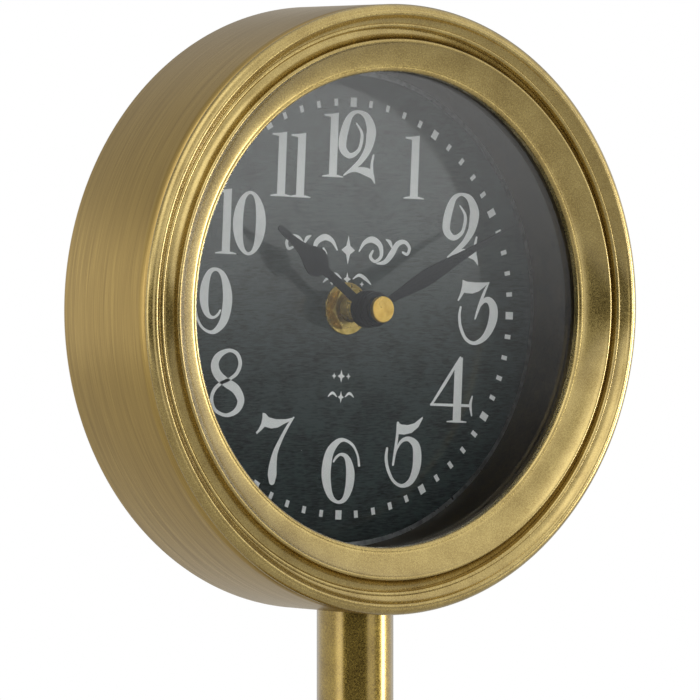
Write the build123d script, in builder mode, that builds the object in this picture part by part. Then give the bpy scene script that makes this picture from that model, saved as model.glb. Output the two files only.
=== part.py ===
from build123d import *
from math import cos, pi, radians, sin, sqrt
import os

# A table clock on a pole. Millimetres, +Z up, the dial looks along -Y. The origin is on the floor,
# under the pole's axis. "Depth" is a distance along +Y, towards the back of the clock.

# ---------------------------------------------------------------- driving dimensions
head_height = 275.0          # the dial's axis above the floor
case_radius = 75.0           # outside of the drum
case_wall = 1.2
bezel_depth = -18.0          # depth of the bezel's widest circle
case_length = 36.3           # from the bezel's widest circle to the back rim
pole_radius = 9.5
pole_wall = 1.5
base_radius = 60.0
base_wall = 1.2

running_gap = 0.05           # radial gap of a shaft in its bearing
seat_gap = 0.02              # radial gap of a piece pushed on a shaft
loose_gap = 0.2              # gap round a piece that drops into its place

# dial, glass and the wall between them
dial_depth = 4.6             # front of the printed card
card_thickness = 0.3
plate_thickness = 0.6
glass_depth = -13.5          # front of the glass
glass_thickness = 2.0
glass_radius = case_radius - 14.6
spacer_bore = glass_radius - 1.2
dial_radius = spacer_bore - 1.2

# movement
movement_half = 28.0         # half of the square movement case
movement_depth = 16.0
movement_wall = 1.2
movement_corner = 4.0
washer_thickness = 0.8       # rubber washer between the dial plate and the movement
battery_radius = 7.1
battery_half = 24.6
nub_radius = 2.7
nub_length = 0.9

# shafts that stand one inside another, from the middle outwards
seconds_radius = 0.5
minute_radius = 1.6
hour_radius = 2.45
bush_radius = 3.4
thread_depth = 0.22
thread_pitch = 0.75
pivot_radius = 0.4
setting_radius = 0.5

# what sits on the shafts in front of the dial, by depth
nut_across_flats = 9.5
nut_thickness = 1.6
dial_washer_radius = 6.5
dial_washer_thickness = 0.5
bush_front = -3.2
hour_hand_back = -3.5
hour_boss_radius = 4.6
hour_boss_front = -5.9
minute_hand_back = -7.1
minute_disc_radius = 4.3
minute_disc_front = -8.1
minute_boss_radius = 3.1
minute_boss_front = -9.4
cap_radius = 3.25
cap_back = -9.8
cap_front = -11.0
hand_thickness = 0.4
hour_hand_length = 33.6
minute_hand_length = 45.7

# hands as set, clockwise from upright, seen from the front
hour_hand_angle = 307.7
minute_hand_angle = 64.5

# wheel train: tooth counts, modules and the directions between centres
rotor_teeth = 8
intermediate_teeth = 48
intermediate_pinion_teeth = 12
seconds_teeth = 60
seconds_pinion_teeth = 8
third_teeth = 60
third_pinion_teeth = 8
centre_teeth = 64
minute_pinion_teeth = 14
works_teeth = 42
works_pinion_teeth = 12
hour_teeth = 48
rotor_module = 0.25
intermediate_module = 0.24
third_module = 0.25
works_module = 0.31
intermediate_direction = 60.0
rotor_direction = 90.0
third_direction = 160.0
works_direction = -10.0
wheel_thickness = 0.8
pinion_extra = 0.3           # how far a pinion stands past its mate on each side

# base
felt_thickness = 2.0
weight_bottom = 3.0
weight_step = 8.0
weight_top = 13.0
neck_top = 32.0
collar_height = 6.0
bolt_radius = 4.0
bolt_head_radius = 6.5
bolt_head_height = 4.5
bolt_washer_radius = 8.0
bolt_washer_thickness = 1.2
plug_length = 24.0
head_screw_radius = 2.5
head_screw_head_radius = 4.2
head_screw_head_height = 3.0
head_washer_radius = 4.6
head_washer_thickness = 1.0

# ---------------------------------------------------------------- values worked out from these
case_back = bezel_depth + case_length
case_bore = case_radius - case_wall
plate_depth = dial_depth + card_thickness
plate_back = plate_depth + plate_thickness
movement_front = plate_back + washer_thickness
movement_back = movement_front + movement_depth
inner_front = movement_front + movement_wall
inner_back = movement_back - movement_wall
inner_half = movement_half - movement_wall
case_joint = inner_front + 3.5
pole_top = head_height - case_radius
pole_bore = pole_radius - pole_wall
glass_back = glass_depth + glass_thickness

hour_wheel_depth = inner_front + 0.6
works_wheel_depth = hour_wheel_depth + 1.8
centre_wheel_depth = works_wheel_depth + 1.9
third_wheel_depth = centre_wheel_depth + 1.9
seconds_wheel_depth = third_wheel_depth + 1.8
intermediate_wheel_depth = seconds_wheel_depth + 1.5
train_plate_depth = intermediate_wheel_depth + 1.6
train_plate_thickness = 0.8
arbor_front = movement_front + 0.5
arbor_back = train_plate_depth + train_plate_thickness - 0.1
pivot_hole_depth = inner_front - arbor_front + 0.1


def centre_distance(teeth_a, teeth_b, module):
    """Distance between two meshed wheels."""
    return module * (teeth_a + teeth_b) / 2


def step_from(start, distance, direction):
    """The point at a distance and direction, in degrees, from a start point of the dial's plane."""
    return (
        start[0] + distance * cos(radians(direction)),
        start[1] + distance * sin(radians(direction)),
    )


main_axis = (0.0, 0.0)
third_distance = centre_distance(seconds_pinion_teeth, third_teeth, third_module)
works_distance = centre_distance(minute_pinion_teeth, works_teeth, works_module)
centre_module = 2 * third_distance / (third_pinion_teeth + centre_teeth)
hour_module = 2 * works_distance / (works_pinion_teeth + hour_teeth)
third_axis = step_from(main_axis, third_distance, third_direction)
works_axis = step_from(main_axis, works_distance, works_direction)
intermediate_axis = step_from(
    main_axis,
    centre_distance(intermediate_pinion_teeth, seconds_teeth, intermediate_module),
    intermediate_direction,
)
rotor_axis = step_from(
    intermediate_axis, centre_distance(rotor_teeth, intermediate_teeth, rotor_module), rotor_direction
)


def meshed_phase(phase, teeth, mate_teeth, direction):
    """Angle of a tooth of the mate, so that a gap of it faces the first wheel's tooth."""
    shift = (phase - direction) * teeth / 360
    return direction + 180 + (0.5 - shift) * 360 / mate_teeth


def face_plane(depth, centre=main_axis):
    """Plane across the dial's axis: X to the right, Y up, and its normal towards the reader."""
    return Plane(
        origin=(centre[0], depth, head_height + centre[1]), x_dir=(1, 0, 0), z_dir=(0, -1, 0)
    )


def side_plane(centre=main_axis):
    """Plane along an axis that is square to the dial: X is depth and Y is the radius."""
    return Plane(origin=(centre[0], 0, head_height + centre[1]), x_dir=(0, 1, 0), z_dir=(1, 0, 0))


def depth_axis(centre=main_axis):
    """Axis square to the dial."""
    return Axis((centre[0], 0, head_height + centre[1]), (0, 1, 0))


def disc(front, back, radius, centre=main_axis, mode=Mode.ADD):
    """A round disc between two depths, in the part being built."""
    with BuildSketch(face_plane(back, centre)) as outline:
        Circle(radius)
    extrude(outline.sketch, amount=back - front, mode=mode)


def gear(front, back, teeth, module, phase, centre=main_axis):
    """A toothed disc between two depths, in the part being built. Phase is a tooth's angle."""
    pitch_radius = teeth * module / 2
    tip_radius = pitch_radius + 0.75 * module
    root_radius = pitch_radius - 1.0 * module
    outline = []
    for tooth in range(teeth):
        middle = phase + tooth * 360 / teeth
        for radius, side in (
            (root_radius, -0.62 * module),
            (pitch_radius, -0.56 * module),
            (tip_radius, -0.26 * module),
            (tip_radius, 0.26 * module),
            (pitch_radius, 0.56 * module),
            (root_radius, 0.62 * module),
        ):
            angle = radians(middle) + side / radius
            outline.append((radius * cos(angle), radius * sin(angle)))
    with BuildSketch(face_plane(back, centre)) as toothed:
        Polygon(*outline, align=None)
    extrude(toothed.sketch, amount=back - front)


def finish(part, name):
    """Label a finished piece and write it."""
    part.label = name
    export_step(part, f"parts/{name}.step")


os.makedirs("parts", exist_ok=True)

# ---------------------------------------------------------------- case, bezel and glass
# The drum: a tube with a rolled front edge and a small return at the back rim.
case_front = bezel_depth + 1.7
case_roll = 2.2
case_lip = 1.0
back_return = 2.0

with BuildPart() as case_shell:
    with BuildSketch(side_plane()):
        with BuildLine():
            Line((case_front, case_radius - case_lip), (case_front, case_bore))
            Line((case_front, case_bore), (case_back - case_wall, case_bore))
            Line((case_back - case_wall, case_bore), (case_back - case_wall, case_bore - back_return))
            Line((case_back - case_wall, case_bore - back_return), (case_back, case_bore - back_return))
            Line((case_back, case_bore - back_return), (case_back, case_radius - case_wall))
            JernArc((case_back, case_radius - case_wall), (0, 1), case_wall, 90)
            Line((case_back - case_wall, case_radius), (case_front + case_roll, case_radius))
            ThreePointArc(
                (case_front + case_roll, case_radius),
                (case_front + 0.45 * case_roll, case_radius - 0.28 * case_lip),
                (case_front, case_radius - case_lip),
            )
        make_face()
    revolve(axis=depth_axis())
    with BuildSketch(Plane.XY.offset(pole_top - 1)):
        Circle(head_screw_radius + loose_gap)
    extrude(amount=case_wall + 3, mode=Mode.SUBTRACT)
finish(case_shell.part, "case_shell")

# The bezel: from the opening outwards it has a rounded lip, a broad dished face rising to a ridge,
# a cove, a small bead, a second face and the outer roll. Points are depth behind the bezel's
# widest circle, and radius.
lip_radius = glass_radius - 1.9
seat_depth = glass_depth - bezel_depth
skirt_radius = glass_radius + loose_gap
skirt_wall = 1.5
skirt_depth = seat_depth + 5.0
spigot_radius = case_bore - loose_gap
spigot_depth = 6.0
web_depth = 3.4
ridge_radius = case_radius - 9.0  # the ridge between the dished face and the cove


def bezel_point(depth, radius):
    """A point of the bezel's section."""
    return (bezel_depth + depth, radius)


with BuildPart() as bezel_ring:
    with BuildSketch(side_plane()):
        with BuildLine():
            Line(bezel_point(seat_depth, lip_radius), bezel_point(3.3, lip_radius))
            ThreePointArc(
                bezel_point(3.3, lip_radius),
                bezel_point(2.62, lip_radius + 0.36),
                bezel_point(2.45, lip_radius + 1.2),
            )
            ThreePointArc(
                bezel_point(2.45, lip_radius + 1.2),
                bezel_point(1.2, (lip_radius + 1.2 + ridge_radius) / 2 + 0.05),
                bezel_point(-0.45, ridge_radius - 0.5),
            )
            ThreePointArc(
                bezel_point(-0.45, ridge_radius - 0.5),
                bezel_point(-0.75, ridge_radius),
                bezel_point(-0.4, ridge_radius + 0.5),
            )
            ThreePointArc(
                bezel_point(-0.4, ridge_radius + 0.5),
                bezel_point(1.35, ridge_radius + 1.5),
                bezel_point(2.0, ridge_radius + 3.1),
            )
            ThreePointArc(
                bezel_point(2.0, ridge_radius + 3.1),
                bezel_point(1.1, ridge_radius + 3.25),
                bezel_point(0.75, ridge_radius + 3.75),
            )
            ThreePointArc(
                bezel_point(0.75, ridge_radius + 3.75),
                bezel_point(0.75, ridge_radius + 4.1),
                bezel_point(1.0, ridge_radius + 4.4),
            )
            ThreePointArc(
                bezel_point(1.0, ridge_radius + 4.4),
                bezel_point(0.35, ridge_radius + 5.5),
                bezel_point(-0.6, case_radius - 2.7),
            )
            ThreePointArc(
                bezel_point(-0.6, case_radius - 2.7),
                bezel_point(-0.85, case_radius - 2.2),
                bezel_point(-0.65, case_radius - 1.7),
            )
            ThreePointArc(
                bezel_point(-0.65, case_radius - 1.7),
                bezel_point(-0.1, case_radius - 0.4),
                bezel_point(0.6, case_radius),
            )
            ThreePointArc(
                bezel_point(0.6, case_radius),
                bezel_point(1.1, case_radius - 0.2),
                bezel_point(1.3, case_radius - 0.8),
            )
            Polyline(
                bezel_point(1.3, case_radius - 0.8),
                bezel_point(1.5, spigot_radius),
                bezel_point(spigot_depth, spigot_radius),
                bezel_point(spigot_depth, spigot_radius - 1.5),
                bezel_point(web_depth, spigot_radius - 1.5),
                bezel_point(web_depth, skirt_radius + skirt_wall),
                bezel_point(skirt_depth, skirt_radius + skirt_wall),
                bezel_point(skirt_depth, skirt_radius),
                bezel_point(seat_depth, skirt_radius),
                bezel_point(seat_depth, lip_radius),
            )
        make_face()
    revolve(axis=depth_axis())
finish(bezel_ring.part, "bezel_ring")

with BuildPart() as glass_lens:
    disc(glass_depth, glass_back, glass_radius)
    chamfer(glass_lens.edges().filter_by(GeomType.CIRCLE), 0.3)
finish(glass_lens.part, "glass_lens")

# The dark wall between the glass and the dial plate.
with BuildPart() as spacer_ring:
    disc(glass_back, plate_depth, glass_radius)
    disc(glass_back - 1, plate_depth + 1, spacer_bore, mode=Mode.SUBTRACT)
finish(spacer_ring.part, "spacer_ring")

# ---------------------------------------------------------------- dial
bush_clearance = bush_radius + loose_gap
block_ring = case_bore - 5.8   # radius of the four blocks that carry the dial plate and back cover
block_radius = 4.0
block_screw_radius = 1.25
screw_head_radius = 2.6
screw_head_height = 1.4
screw_length = 5.0
cover_thickness = 1.5
cover_depth = case_back - case_wall - cover_thickness
cover_radius = case_bore - loose_gap

with BuildPart() as dial_card:
    disc(dial_depth, plate_depth, dial_radius)
    disc(dial_depth - 1, plate_depth + 1, bush_clearance, mode=Mode.SUBTRACT)
finish(dial_card.part, "dial_card")

with BuildPart() as dial_plate:
    disc(plate_depth, plate_back, cover_radius)
    disc(plate_depth - 1, plate_back + 1, bush_clearance, mode=Mode.SUBTRACT)
    with BuildSketch(face_plane(plate_back + 1)):
        with PolarLocations(block_ring, 4, start_angle=45):
            Circle(block_screw_radius + loose_gap)
    extrude(amount=plate_thickness + 2, mode=Mode.SUBTRACT)
finish(dial_plate.part, "dial_plate")

with BuildPart() as case_blocks:
    with BuildSketch(face_plane(cover_depth)):
        with PolarLocations(block_ring, 4, start_angle=45):
            Circle(block_radius)
            Circle(block_screw_radius, mode=Mode.SUBTRACT)
    extrude(amount=cover_depth - plate_back)
finish(case_blocks.part, "case_blocks")

with BuildPart() as dial_screws:
    with BuildSketch(face_plane(plate_depth)):
        with PolarLocations(block_ring, 4, start_angle=45):
            Circle(screw_head_radius)
    extrude(amount=screw_head_height)
    with BuildSketch(face_plane(plate_depth + screw_length)):
        with PolarLocations(block_ring, 4, start_angle=45):
            Circle(block_screw_radius - seat_gap)
    extrude(amount=screw_length)
finish(dial_screws.part, "dial_screws")

# The back cover has a square window that the movement stands through.
with BuildPart() as back_cover:
    disc(cover_depth, cover_depth + cover_thickness, cover_radius - back_return - loose_gap)
    with BuildSketch(face_plane(cover_depth + cover_thickness + 1)):
        RectangleRounded(
            2 * (movement_half + loose_gap), 2 * (movement_half + loose_gap), movement_corner + loose_gap
        )
        with PolarLocations(block_ring, 4, start_angle=45):
            Circle(block_screw_radius + loose_gap)
    extrude(amount=cover_thickness + 2, mode=Mode.SUBTRACT)
finish(back_cover.part, "back_cover")

with BuildPart() as back_cover_screws:
    with BuildSketch(face_plane(cover_depth + cover_thickness + screw_head_height)):
        with PolarLocations(block_ring, 4, start_angle=45):
            Circle(screw_head_radius)
    extrude(amount=screw_head_height)
    fillet(back_cover_screws.faces().sort_by(Axis.Y)[-4:].edges(), 0.5)
    with BuildSketch(face_plane(cover_depth + cover_thickness)):
        with PolarLocations(block_ring, 4, start_angle=45):
            Circle(block_screw_radius - seat_gap)
    extrude(amount=cover_thickness + 3.0)
    with BuildSketch(face_plane(cover_depth + cover_thickness + screw_head_height)):
        with PolarLocations(block_ring, 4, start_angle=45):
            Rectangle(3.2, 0.6)
            Rectangle(0.6, 3.2)
    extrude(amount=0.8, mode=Mode.SUBTRACT)
finish(back_cover_screws.part, "back_cover_screws")

# ---------------------------------------------------------------- movement: fixed pieces
post_radius = 1.6
post_places = ((-22.0, -8.0), (22.0, -8.0), (-22.0, 23.0))
bay_top = -inner_half + 2 * battery_radius + 0.6
bay_wall = 1.0
battery_axis = (0.0, -inner_half + battery_radius + 0.3)
battery_depth = inner_front + 0.3 + battery_radius
flange_radius = 4.6
flange_thickness = 0.4
train_axes = (main_axis, third_axis, intermediate_axis, rotor_axis)

with BuildPart() as movement_front_case:
    with BuildSketch(face_plane(case_joint)):
        RectangleRounded(2 * movement_half, 2 * movement_half, movement_corner)
    extrude(amount=case_joint - movement_front)
    with BuildSketch(face_plane(case_joint)):
        RectangleRounded(2 * inner_half, 2 * inner_half, movement_corner - movement_wall)
    extrude(amount=case_joint - inner_front, mode=Mode.SUBTRACT)
    with BuildSketch(face_plane(train_plate_depth)):
        with Locations(*post_places):
            Circle(post_radius)
    extrude(amount=train_plate_depth - inner_front)
    disc(movement_front - 1, inner_front + 1, bush_radius + seat_gap, mode=Mode.SUBTRACT)
    with BuildSketch(face_plane(inner_front)):
        with Locations(third_axis, intermediate_axis, rotor_axis):
            Circle(pivot_radius + running_gap)
        with Locations(works_axis):
            Circle(setting_radius + running_gap)
    extrude(amount=pivot_hole_depth, mode=Mode.SUBTRACT)
finish(movement_front_case.part, "movement_front_case")

with BuildPart() as movement_rear_case:
    with BuildSketch(face_plane(movement_back)):
        RectangleRounded(2 * movement_half, 2 * movement_half, movement_corner)
    extrude(amount=movement_back - case_joint)
    fillet(movement_rear_case.faces().sort_by(Axis.Y)[-1].edges(), 0.8)
    with BuildSketch(face_plane(inner_back)):
        RectangleRounded(2 * inner_half, 2 * inner_half, movement_corner - movement_wall)
    extrude(amount=inner_back - case_joint, mode=Mode.SUBTRACT)
    # the wall between the battery bay and the wheels
    with BuildSketch(face_plane(inner_back)):
        with Locations((0, bay_top + bay_wall / 2)):
            Rectangle(2 * inner_half, bay_wall)
    extrude(amount=inner_back - case_joint)
    # the open back of the battery bay
    with BuildSketch(face_plane(movement_back + 1)):
        with Locations((0, (bay_top - inner_half) / 2)):
            Rectangle(2 * inner_half - 1.0, bay_top + inner_half - 0.2)
    extrude(amount=movement_wall + 2, mode=Mode.SUBTRACT)
    with BuildSketch(face_plane(movement_back + 1)):
        with Locations(works_axis):
            Circle(setting_radius + running_gap)
    extrude(amount=movement_wall + 2, mode=Mode.SUBTRACT)
finish(movement_rear_case.part, "movement_rear_case")

with BuildPart() as train_plate:
    with BuildSketch(face_plane(train_plate_depth + train_plate_thickness)):
        with Locations((0, 7.5)):
            RectangleRounded(48.0, 35.0, 2.0)
        with Locations(third_axis, intermediate_axis, rotor_axis):
            Circle(pivot_radius + running_gap, mode=Mode.SUBTRACT)
        Circle(seconds_radius + running_gap, mode=Mode.SUBTRACT)
        with Locations(works_axis):
            Circle(setting_radius + running_gap, mode=Mode.SUBTRACT)
    extrude(amount=train_plate_thickness)
finish(train_plate.part, "train_plate")

# The bush clamps the movement to the dial. Its thread is a row of grooves.
with BuildPart() as threaded_bush:
    thread_turns = int((movement_front - bush_front) / thread_pitch)
    with BuildSketch(side_plane()):
        groove_points = [(bush_front, hour_radius + running_gap), (bush_front, bush_radius - thread_depth)]
        for turn in range(thread_turns):
            groove_start = bush_front + turn * thread_pitch
            groove_points.append((groove_start + thread_pitch * 0.5, bush_radius))
            groove_points.append((groove_start + thread_pitch, bush_radius - thread_depth))
        groove_points.append((movement_front, bush_radius))
        groove_points.append((inner_front, bush_radius))
        groove_points.append((inner_front, flange_radius))
        groove_points.append((inner_front + flange_thickness, flange_radius))
        groove_points.append((inner_front + flange_thickness, hour_radius + running_gap))
        Polygon(*groove_points, align=None)
    revolve(axis=depth_axis())
finish(threaded_bush.part, "threaded_bush")

with BuildPart() as rubber_washer:
    disc(plate_back, movement_front, 9.0)
    disc(plate_back - 1, movement_front + 1, bush_clearance, mode=Mode.SUBTRACT)
finish(rubber_washer.part, "rubber_washer")

with BuildPart() as dial_washer:
    disc(dial_depth - dial_washer_thickness, dial_depth, dial_washer_radius)
    chamfer(dial_washer.faces().sort_by(Axis.Y)[0].edges(), 0.15)
    disc(dial_depth - 2, dial_depth + 1, bush_clearance, mode=Mode.SUBTRACT)
finish(dial_washer.part, "dial_washer")

nut_back = dial_depth - dial_washer_thickness
nut_corner_radius = nut_across_flats / sqrt(3)
nut_turn = -55.0
with BuildPart() as hex_nut:
    with BuildSketch(face_plane(nut_back)):
        RegularPolygon(nut_corner_radius, 6, rotation=nut_turn)
    extrude(amount=nut_thickness)
    with BuildSketch(side_plane()):
        with BuildLine():
            Polyline(
                (nut_back - nut_thickness, nut_across_flats / 2 - 0.1),
                (nut_back - nut_thickness - 1, nut_across_flats / 2 - 0.1),
                (nut_back - nut_thickness - 1, nut_corner_radius + 1),
                (nut_back - nut_thickness + 0.7, nut_corner_radius + 1),
                (nut_back - nut_thickness, nut_across_flats / 2 - 0.1),
            )
        make_face()
    revolve(axis=depth_axis(), mode=Mode.SUBTRACT)
    disc(nut_back - 3, nut_back + 1, bush_radius + running_gap, mode=Mode.SUBTRACT)
finish(hex_nut.part, "hex_nut")

# Motor: a laminated stator with a coil on its core, and the board that drives it.
stator_depth = third_wheel_depth
stator_thickness = 0.8
core_depth = stator_depth + stator_thickness
magnet_radius = 3.0
magnet_length = 3.0
stator_bore = magnet_radius + 0.4
stator_rim = 1.2
coil_centre = (11.0, 23.0)
coil_half = 8.0
core_half_height = 1.8
bobbin_half_height = 3.6
bobbin_half_depth = 2.9
bobbin_wall = 0.7
core_middle = core_depth + stator_thickness / 2

with BuildPart() as stator_plate:
    with BuildSketch(face_plane(stator_depth + stator_thickness)):
        with Locations((coil_centre[0], rotor_axis[1])):
            Rectangle(26.0, 4.6)
        with Locations(rotor_axis):
            Circle(stator_bore + stator_rim)
        with Locations((coil_centre[0] - 11.2, 18.9), (coil_centre[0] + 11.2, 18.9)):
            Rectangle(3.6, 11.0)
        with Locations(rotor_axis):
            Circle(stator_bore, mode=Mode.SUBTRACT)
    extrude(amount=stator_thickness)
finish(stator_plate.part, "stator_plate")

with BuildPart() as coil_core:
    with BuildSketch(face_plane(core_depth + stator_thickness)):
        with Locations(coil_centre):
            Rectangle(26.0, 2 * core_half_height)
    extrude(amount=stator_thickness)
finish(coil_core.part, "coil_core")

# The bobbin and its winding run along the core, which is the X direction.
coil_plane = Plane(
    origin=(coil_centre[0] - coil_half, core_middle, head_height + coil_centre[1]),
    x_dir=(0, 1, 0),
    z_dir=(1, 0, 0),
)
core_hole = (stator_thickness + 2 * running_gap, 2 * core_half_height + 2 * running_gap)
with BuildPart() as coil_bobbin:
    with BuildSketch(coil_plane):
        RectangleRounded(2 * bobbin_half_depth, 2 * bobbin_half_height, 0.6)
    extrude(amount=bobbin_wall)
    with BuildSketch(coil_plane.offset(2 * coil_half - bobbin_wall)):
        RectangleRounded(2 * bobbin_half_depth, 2 * bobbin_half_height, 0.6)
    extrude(amount=bobbin_wall)
    with BuildSketch(coil_plane):
        RectangleRounded(core_hole[0] + 2 * bobbin_wall, core_hole[1] + 2 * bobbin_wall, 0.6)
    extrude(amount=2 * coil_half)
    with BuildSketch(coil_plane):
        Rectangle(*core_hole)
    extrude(amount=2 * coil_half, mode=Mode.SUBTRACT)
finish(coil_bobbin.part, "coil_bobbin")

with BuildPart() as coil_winding:
    with BuildSketch(coil_plane.offset(bobbin_wall + running_gap)):
        RectangleRounded(2 * bobbin_half_depth - 0.6, 2 * bobbin_half_height - 0.6, 1.2)
        RectangleRounded(
            core_hole[0] + 2 * bobbin_wall + seat_gap,
            core_hole[1] + 2 * bobbin_wall + seat_gap,
            0.6,
            mode=Mode.SUBTRACT,
        )
    extrude(amount=2 * (coil_half - bobbin_wall - running_gap))
finish(coil_winding.part, "coil_winding")

board_centre = (-12.5, 18.5)
board_depth = inner_front + 4.0
board_thickness = 1.0
with BuildPart() as circuit_board:
    with BuildSketch(face_plane(board_depth + board_thickness)):
        with Locations(board_centre):
            RectangleRounded(15.0, 12.0, 0.8)
    extrude(amount=board_thickness)
finish(circuit_board.part, "circuit_board")

with BuildPart() as clock_chip:
    with BuildSketch(face_plane(board_depth + board_thickness + 1.0, board_centre)):
        Circle(2.4)
    extrude(amount=1.0)
    fillet(clock_chip.faces().sort_by(Axis.Y)[-1].edges(), 0.8)
finish(clock_chip.part, "clock_chip")

crystal_radius = 1.0
with BuildPart() as quartz_crystal:
    crystal_plane = Plane(
        origin=(board_centre[0] - 3, board_depth + board_thickness + crystal_radius,
                head_height + board_centre[1] + 4),
        x_dir=(0, 1, 0),
        z_dir=(1, 0, 0),
    )
    with BuildSketch(crystal_plane):
        Circle(crystal_radius)
    extrude(amount=6.0)
finish(quartz_crystal.part, "quartz_crystal")

# Battery and its two sprung contacts.
contact_thickness = 0.3
contact_width = 2 * battery_radius - 5.2
dimple_radius = 2.2


def end_plane(side):
    """Plane on the battery bay's end wall, looking inwards. Side is 1 on the right, -1 on the left."""
    return Plane(
        origin=(side * inner_half, battery_depth, head_height + battery_axis[1]),
        x_dir=(0, 1, 0),
        z_dir=(-side, 0, 0),
    )


def contact_piece(side, reach):
    """A contact plate on the bay's end wall with a pressed dimple that touches the battery."""
    with BuildSketch(end_plane(side)) as plate:
        RectangleRounded(contact_width, contact_width, 1.0)
    extrude(plate.sketch, amount=contact_thickness)
    with BuildSketch(end_plane(side)) as dimple:
        Circle(dimple_radius)
    extrude(dimple.sketch, amount=reach, taper=20)


with BuildPart() as battery:
    battery_plane = Plane(
        origin=(-battery_half, battery_depth, head_height + battery_axis[1]),
        x_dir=(0, 1, 0),
        z_dir=(1, 0, 0),
    )
    with BuildSketch(battery_plane):
        Circle(battery_radius)
    extrude(amount=2 * battery_half)
    fillet(battery.edges().filter_by(GeomType.CIRCLE), 0.5)
    with BuildSketch(battery_plane.offset(2 * battery_half)):
        Circle(nub_radius)
    extrude(amount=nub_length)
finish(battery.part, "battery")

with BuildPart() as contact_positive:
    contact_piece(1, inner_half - battery_half - nub_length - 0.1)
finish(contact_positive.part, "contact_positive")

with BuildPart() as contact_negative:
    contact_piece(-1, inner_half - battery_half - 0.1)
finish(contact_negative.part, "contact_negative")

# ---------------------------------------------------------------- movement: wheels
rotor_phase = 0.0
intermediate_phase = meshed_phase(rotor_phase, rotor_teeth, intermediate_teeth, rotor_direction + 180)
seconds_phase = meshed_phase(0.0, intermediate_pinion_teeth, seconds_teeth, intermediate_direction + 180)
third_phase = meshed_phase(0.0, seconds_pinion_teeth, third_teeth, third_direction)
centre_phase = meshed_phase(0.0, third_pinion_teeth, centre_teeth, third_direction + 180)
works_phase = meshed_phase(0.0, minute_pinion_teeth, works_teeth, works_direction)
hour_phase = meshed_phase(0.0, works_pinion_teeth, hour_teeth, works_direction + 180)


def wheel(depth, teeth, module, phase, centre=main_axis):
    """A wheel of the train, at its depth."""
    gear(depth, depth + wheel_thickness, teeth, module, phase, centre)


def pinion(depth, teeth, module, phase, centre=main_axis):
    """A pinion that meshes with the wheel at this depth, a little wider than the wheel."""
    gear(depth - pinion_extra, depth + wheel_thickness + pinion_extra, teeth, module, phase, centre)


with BuildPart() as rotor_pinion:
    pinion(intermediate_wheel_depth, rotor_teeth, rotor_module, rotor_phase, rotor_axis)
    disc(arbor_front, arbor_back, pivot_radius, rotor_axis)
finish(rotor_pinion.part, "rotor_pinion")

magnet_front = stator_depth + stator_thickness / 2 - magnet_length / 2
with BuildPart() as rotor_magnet:
    disc(magnet_front, magnet_front + magnet_length, magnet_radius, rotor_axis)
    disc(
        magnet_front - 1,
        magnet_front + magnet_length + 1,
        pivot_radius + seat_gap,
        rotor_axis,
        Mode.SUBTRACT,
    )
finish(rotor_magnet.part, "rotor_magnet")

with BuildPart() as intermediate_wheel:
    wheel(intermediate_wheel_depth, intermediate_teeth, rotor_module, intermediate_phase, intermediate_axis)
    pinion(seconds_wheel_depth, intermediate_pinion_teeth, intermediate_module, 0.0, intermediate_axis)
    disc(arbor_front, arbor_back, pivot_radius, intermediate_axis)
finish(intermediate_wheel.part, "intermediate_wheel")

cap_hole = 0.9
with BuildPart() as seconds_wheel:
    wheel(seconds_wheel_depth, seconds_teeth, intermediate_module, seconds_phase)
    pinion(third_wheel_depth, seconds_pinion_teeth, third_module, 0.0)
    disc(third_wheel_depth, seconds_wheel_depth, 0.7)
    disc(cap_back - cap_hole + 0.1, arbor_back, seconds_radius)
finish(seconds_wheel.part, "seconds_wheel")

with BuildPart() as third_wheel:
    wheel(third_wheel_depth, third_teeth, third_module, third_phase, third_axis)
    pinion(centre_wheel_depth, third_pinion_teeth, centre_module, 0.0, third_axis)
    disc(centre_wheel_depth, third_wheel_depth, 0.6, third_axis)
    disc(arbor_front, arbor_back, pivot_radius, third_axis)
finish(third_wheel.part, "third_wheel")

# The centre wheel turns the minute arbor by friction, so that the hands can be set.
with BuildPart() as centre_wheel:
    wheel(centre_wheel_depth, centre_teeth, centre_module, centre_phase)
    disc(centre_wheel_depth - 1, centre_wheel_depth + 2, minute_radius + running_gap, mode=Mode.SUBTRACT)
finish(centre_wheel.part, "centre_wheel")

arbor_flange = 0.3
with BuildPart() as minute_arbor:
    disc(minute_boss_front, centre_wheel_depth + wheel_thickness + 0.2, minute_radius)
    pinion(works_wheel_depth, minute_pinion_teeth, works_module, 0.0)
    disc(
        centre_wheel_depth + wheel_thickness + 0.1,
        centre_wheel_depth + wheel_thickness + 0.1 + arbor_flange,
        2.2,
    )
    disc(minute_boss_front - 1, centre_wheel_depth + 3, seconds_radius + running_gap, mode=Mode.SUBTRACT)
finish(minute_arbor.part, "minute_arbor")

with BuildPart() as minute_works_wheel:
    wheel(works_wheel_depth, works_teeth, works_module, works_phase, works_axis)
    pinion(hour_wheel_depth, works_pinion_teeth, hour_module, 0.0, works_axis)
    disc(arbor_front, movement_back + 1.4, setting_radius, works_axis)
finish(minute_works_wheel.part, "minute_works_wheel")

knob_radius = 4.0
knob_height = 2.4
knob_depth = movement_back + 0.2
with BuildPart() as set_knob:
    disc(knob_depth, knob_depth + knob_height, knob_radius, works_axis)
    fillet(set_knob.faces().sort_by(Axis.Y)[-1].edges(), 0.5)
    with BuildSketch(face_plane(knob_depth + knob_height, works_axis)):
        with PolarLocations(knob_radius, 24):
            Circle(0.3)
    extrude(amount=knob_height, mode=Mode.SUBTRACT)
    disc(knob_depth - 1, knob_depth + 1.4, setting_radius + seat_gap, works_axis, Mode.SUBTRACT)
finish(set_knob.part, "set_knob")

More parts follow.
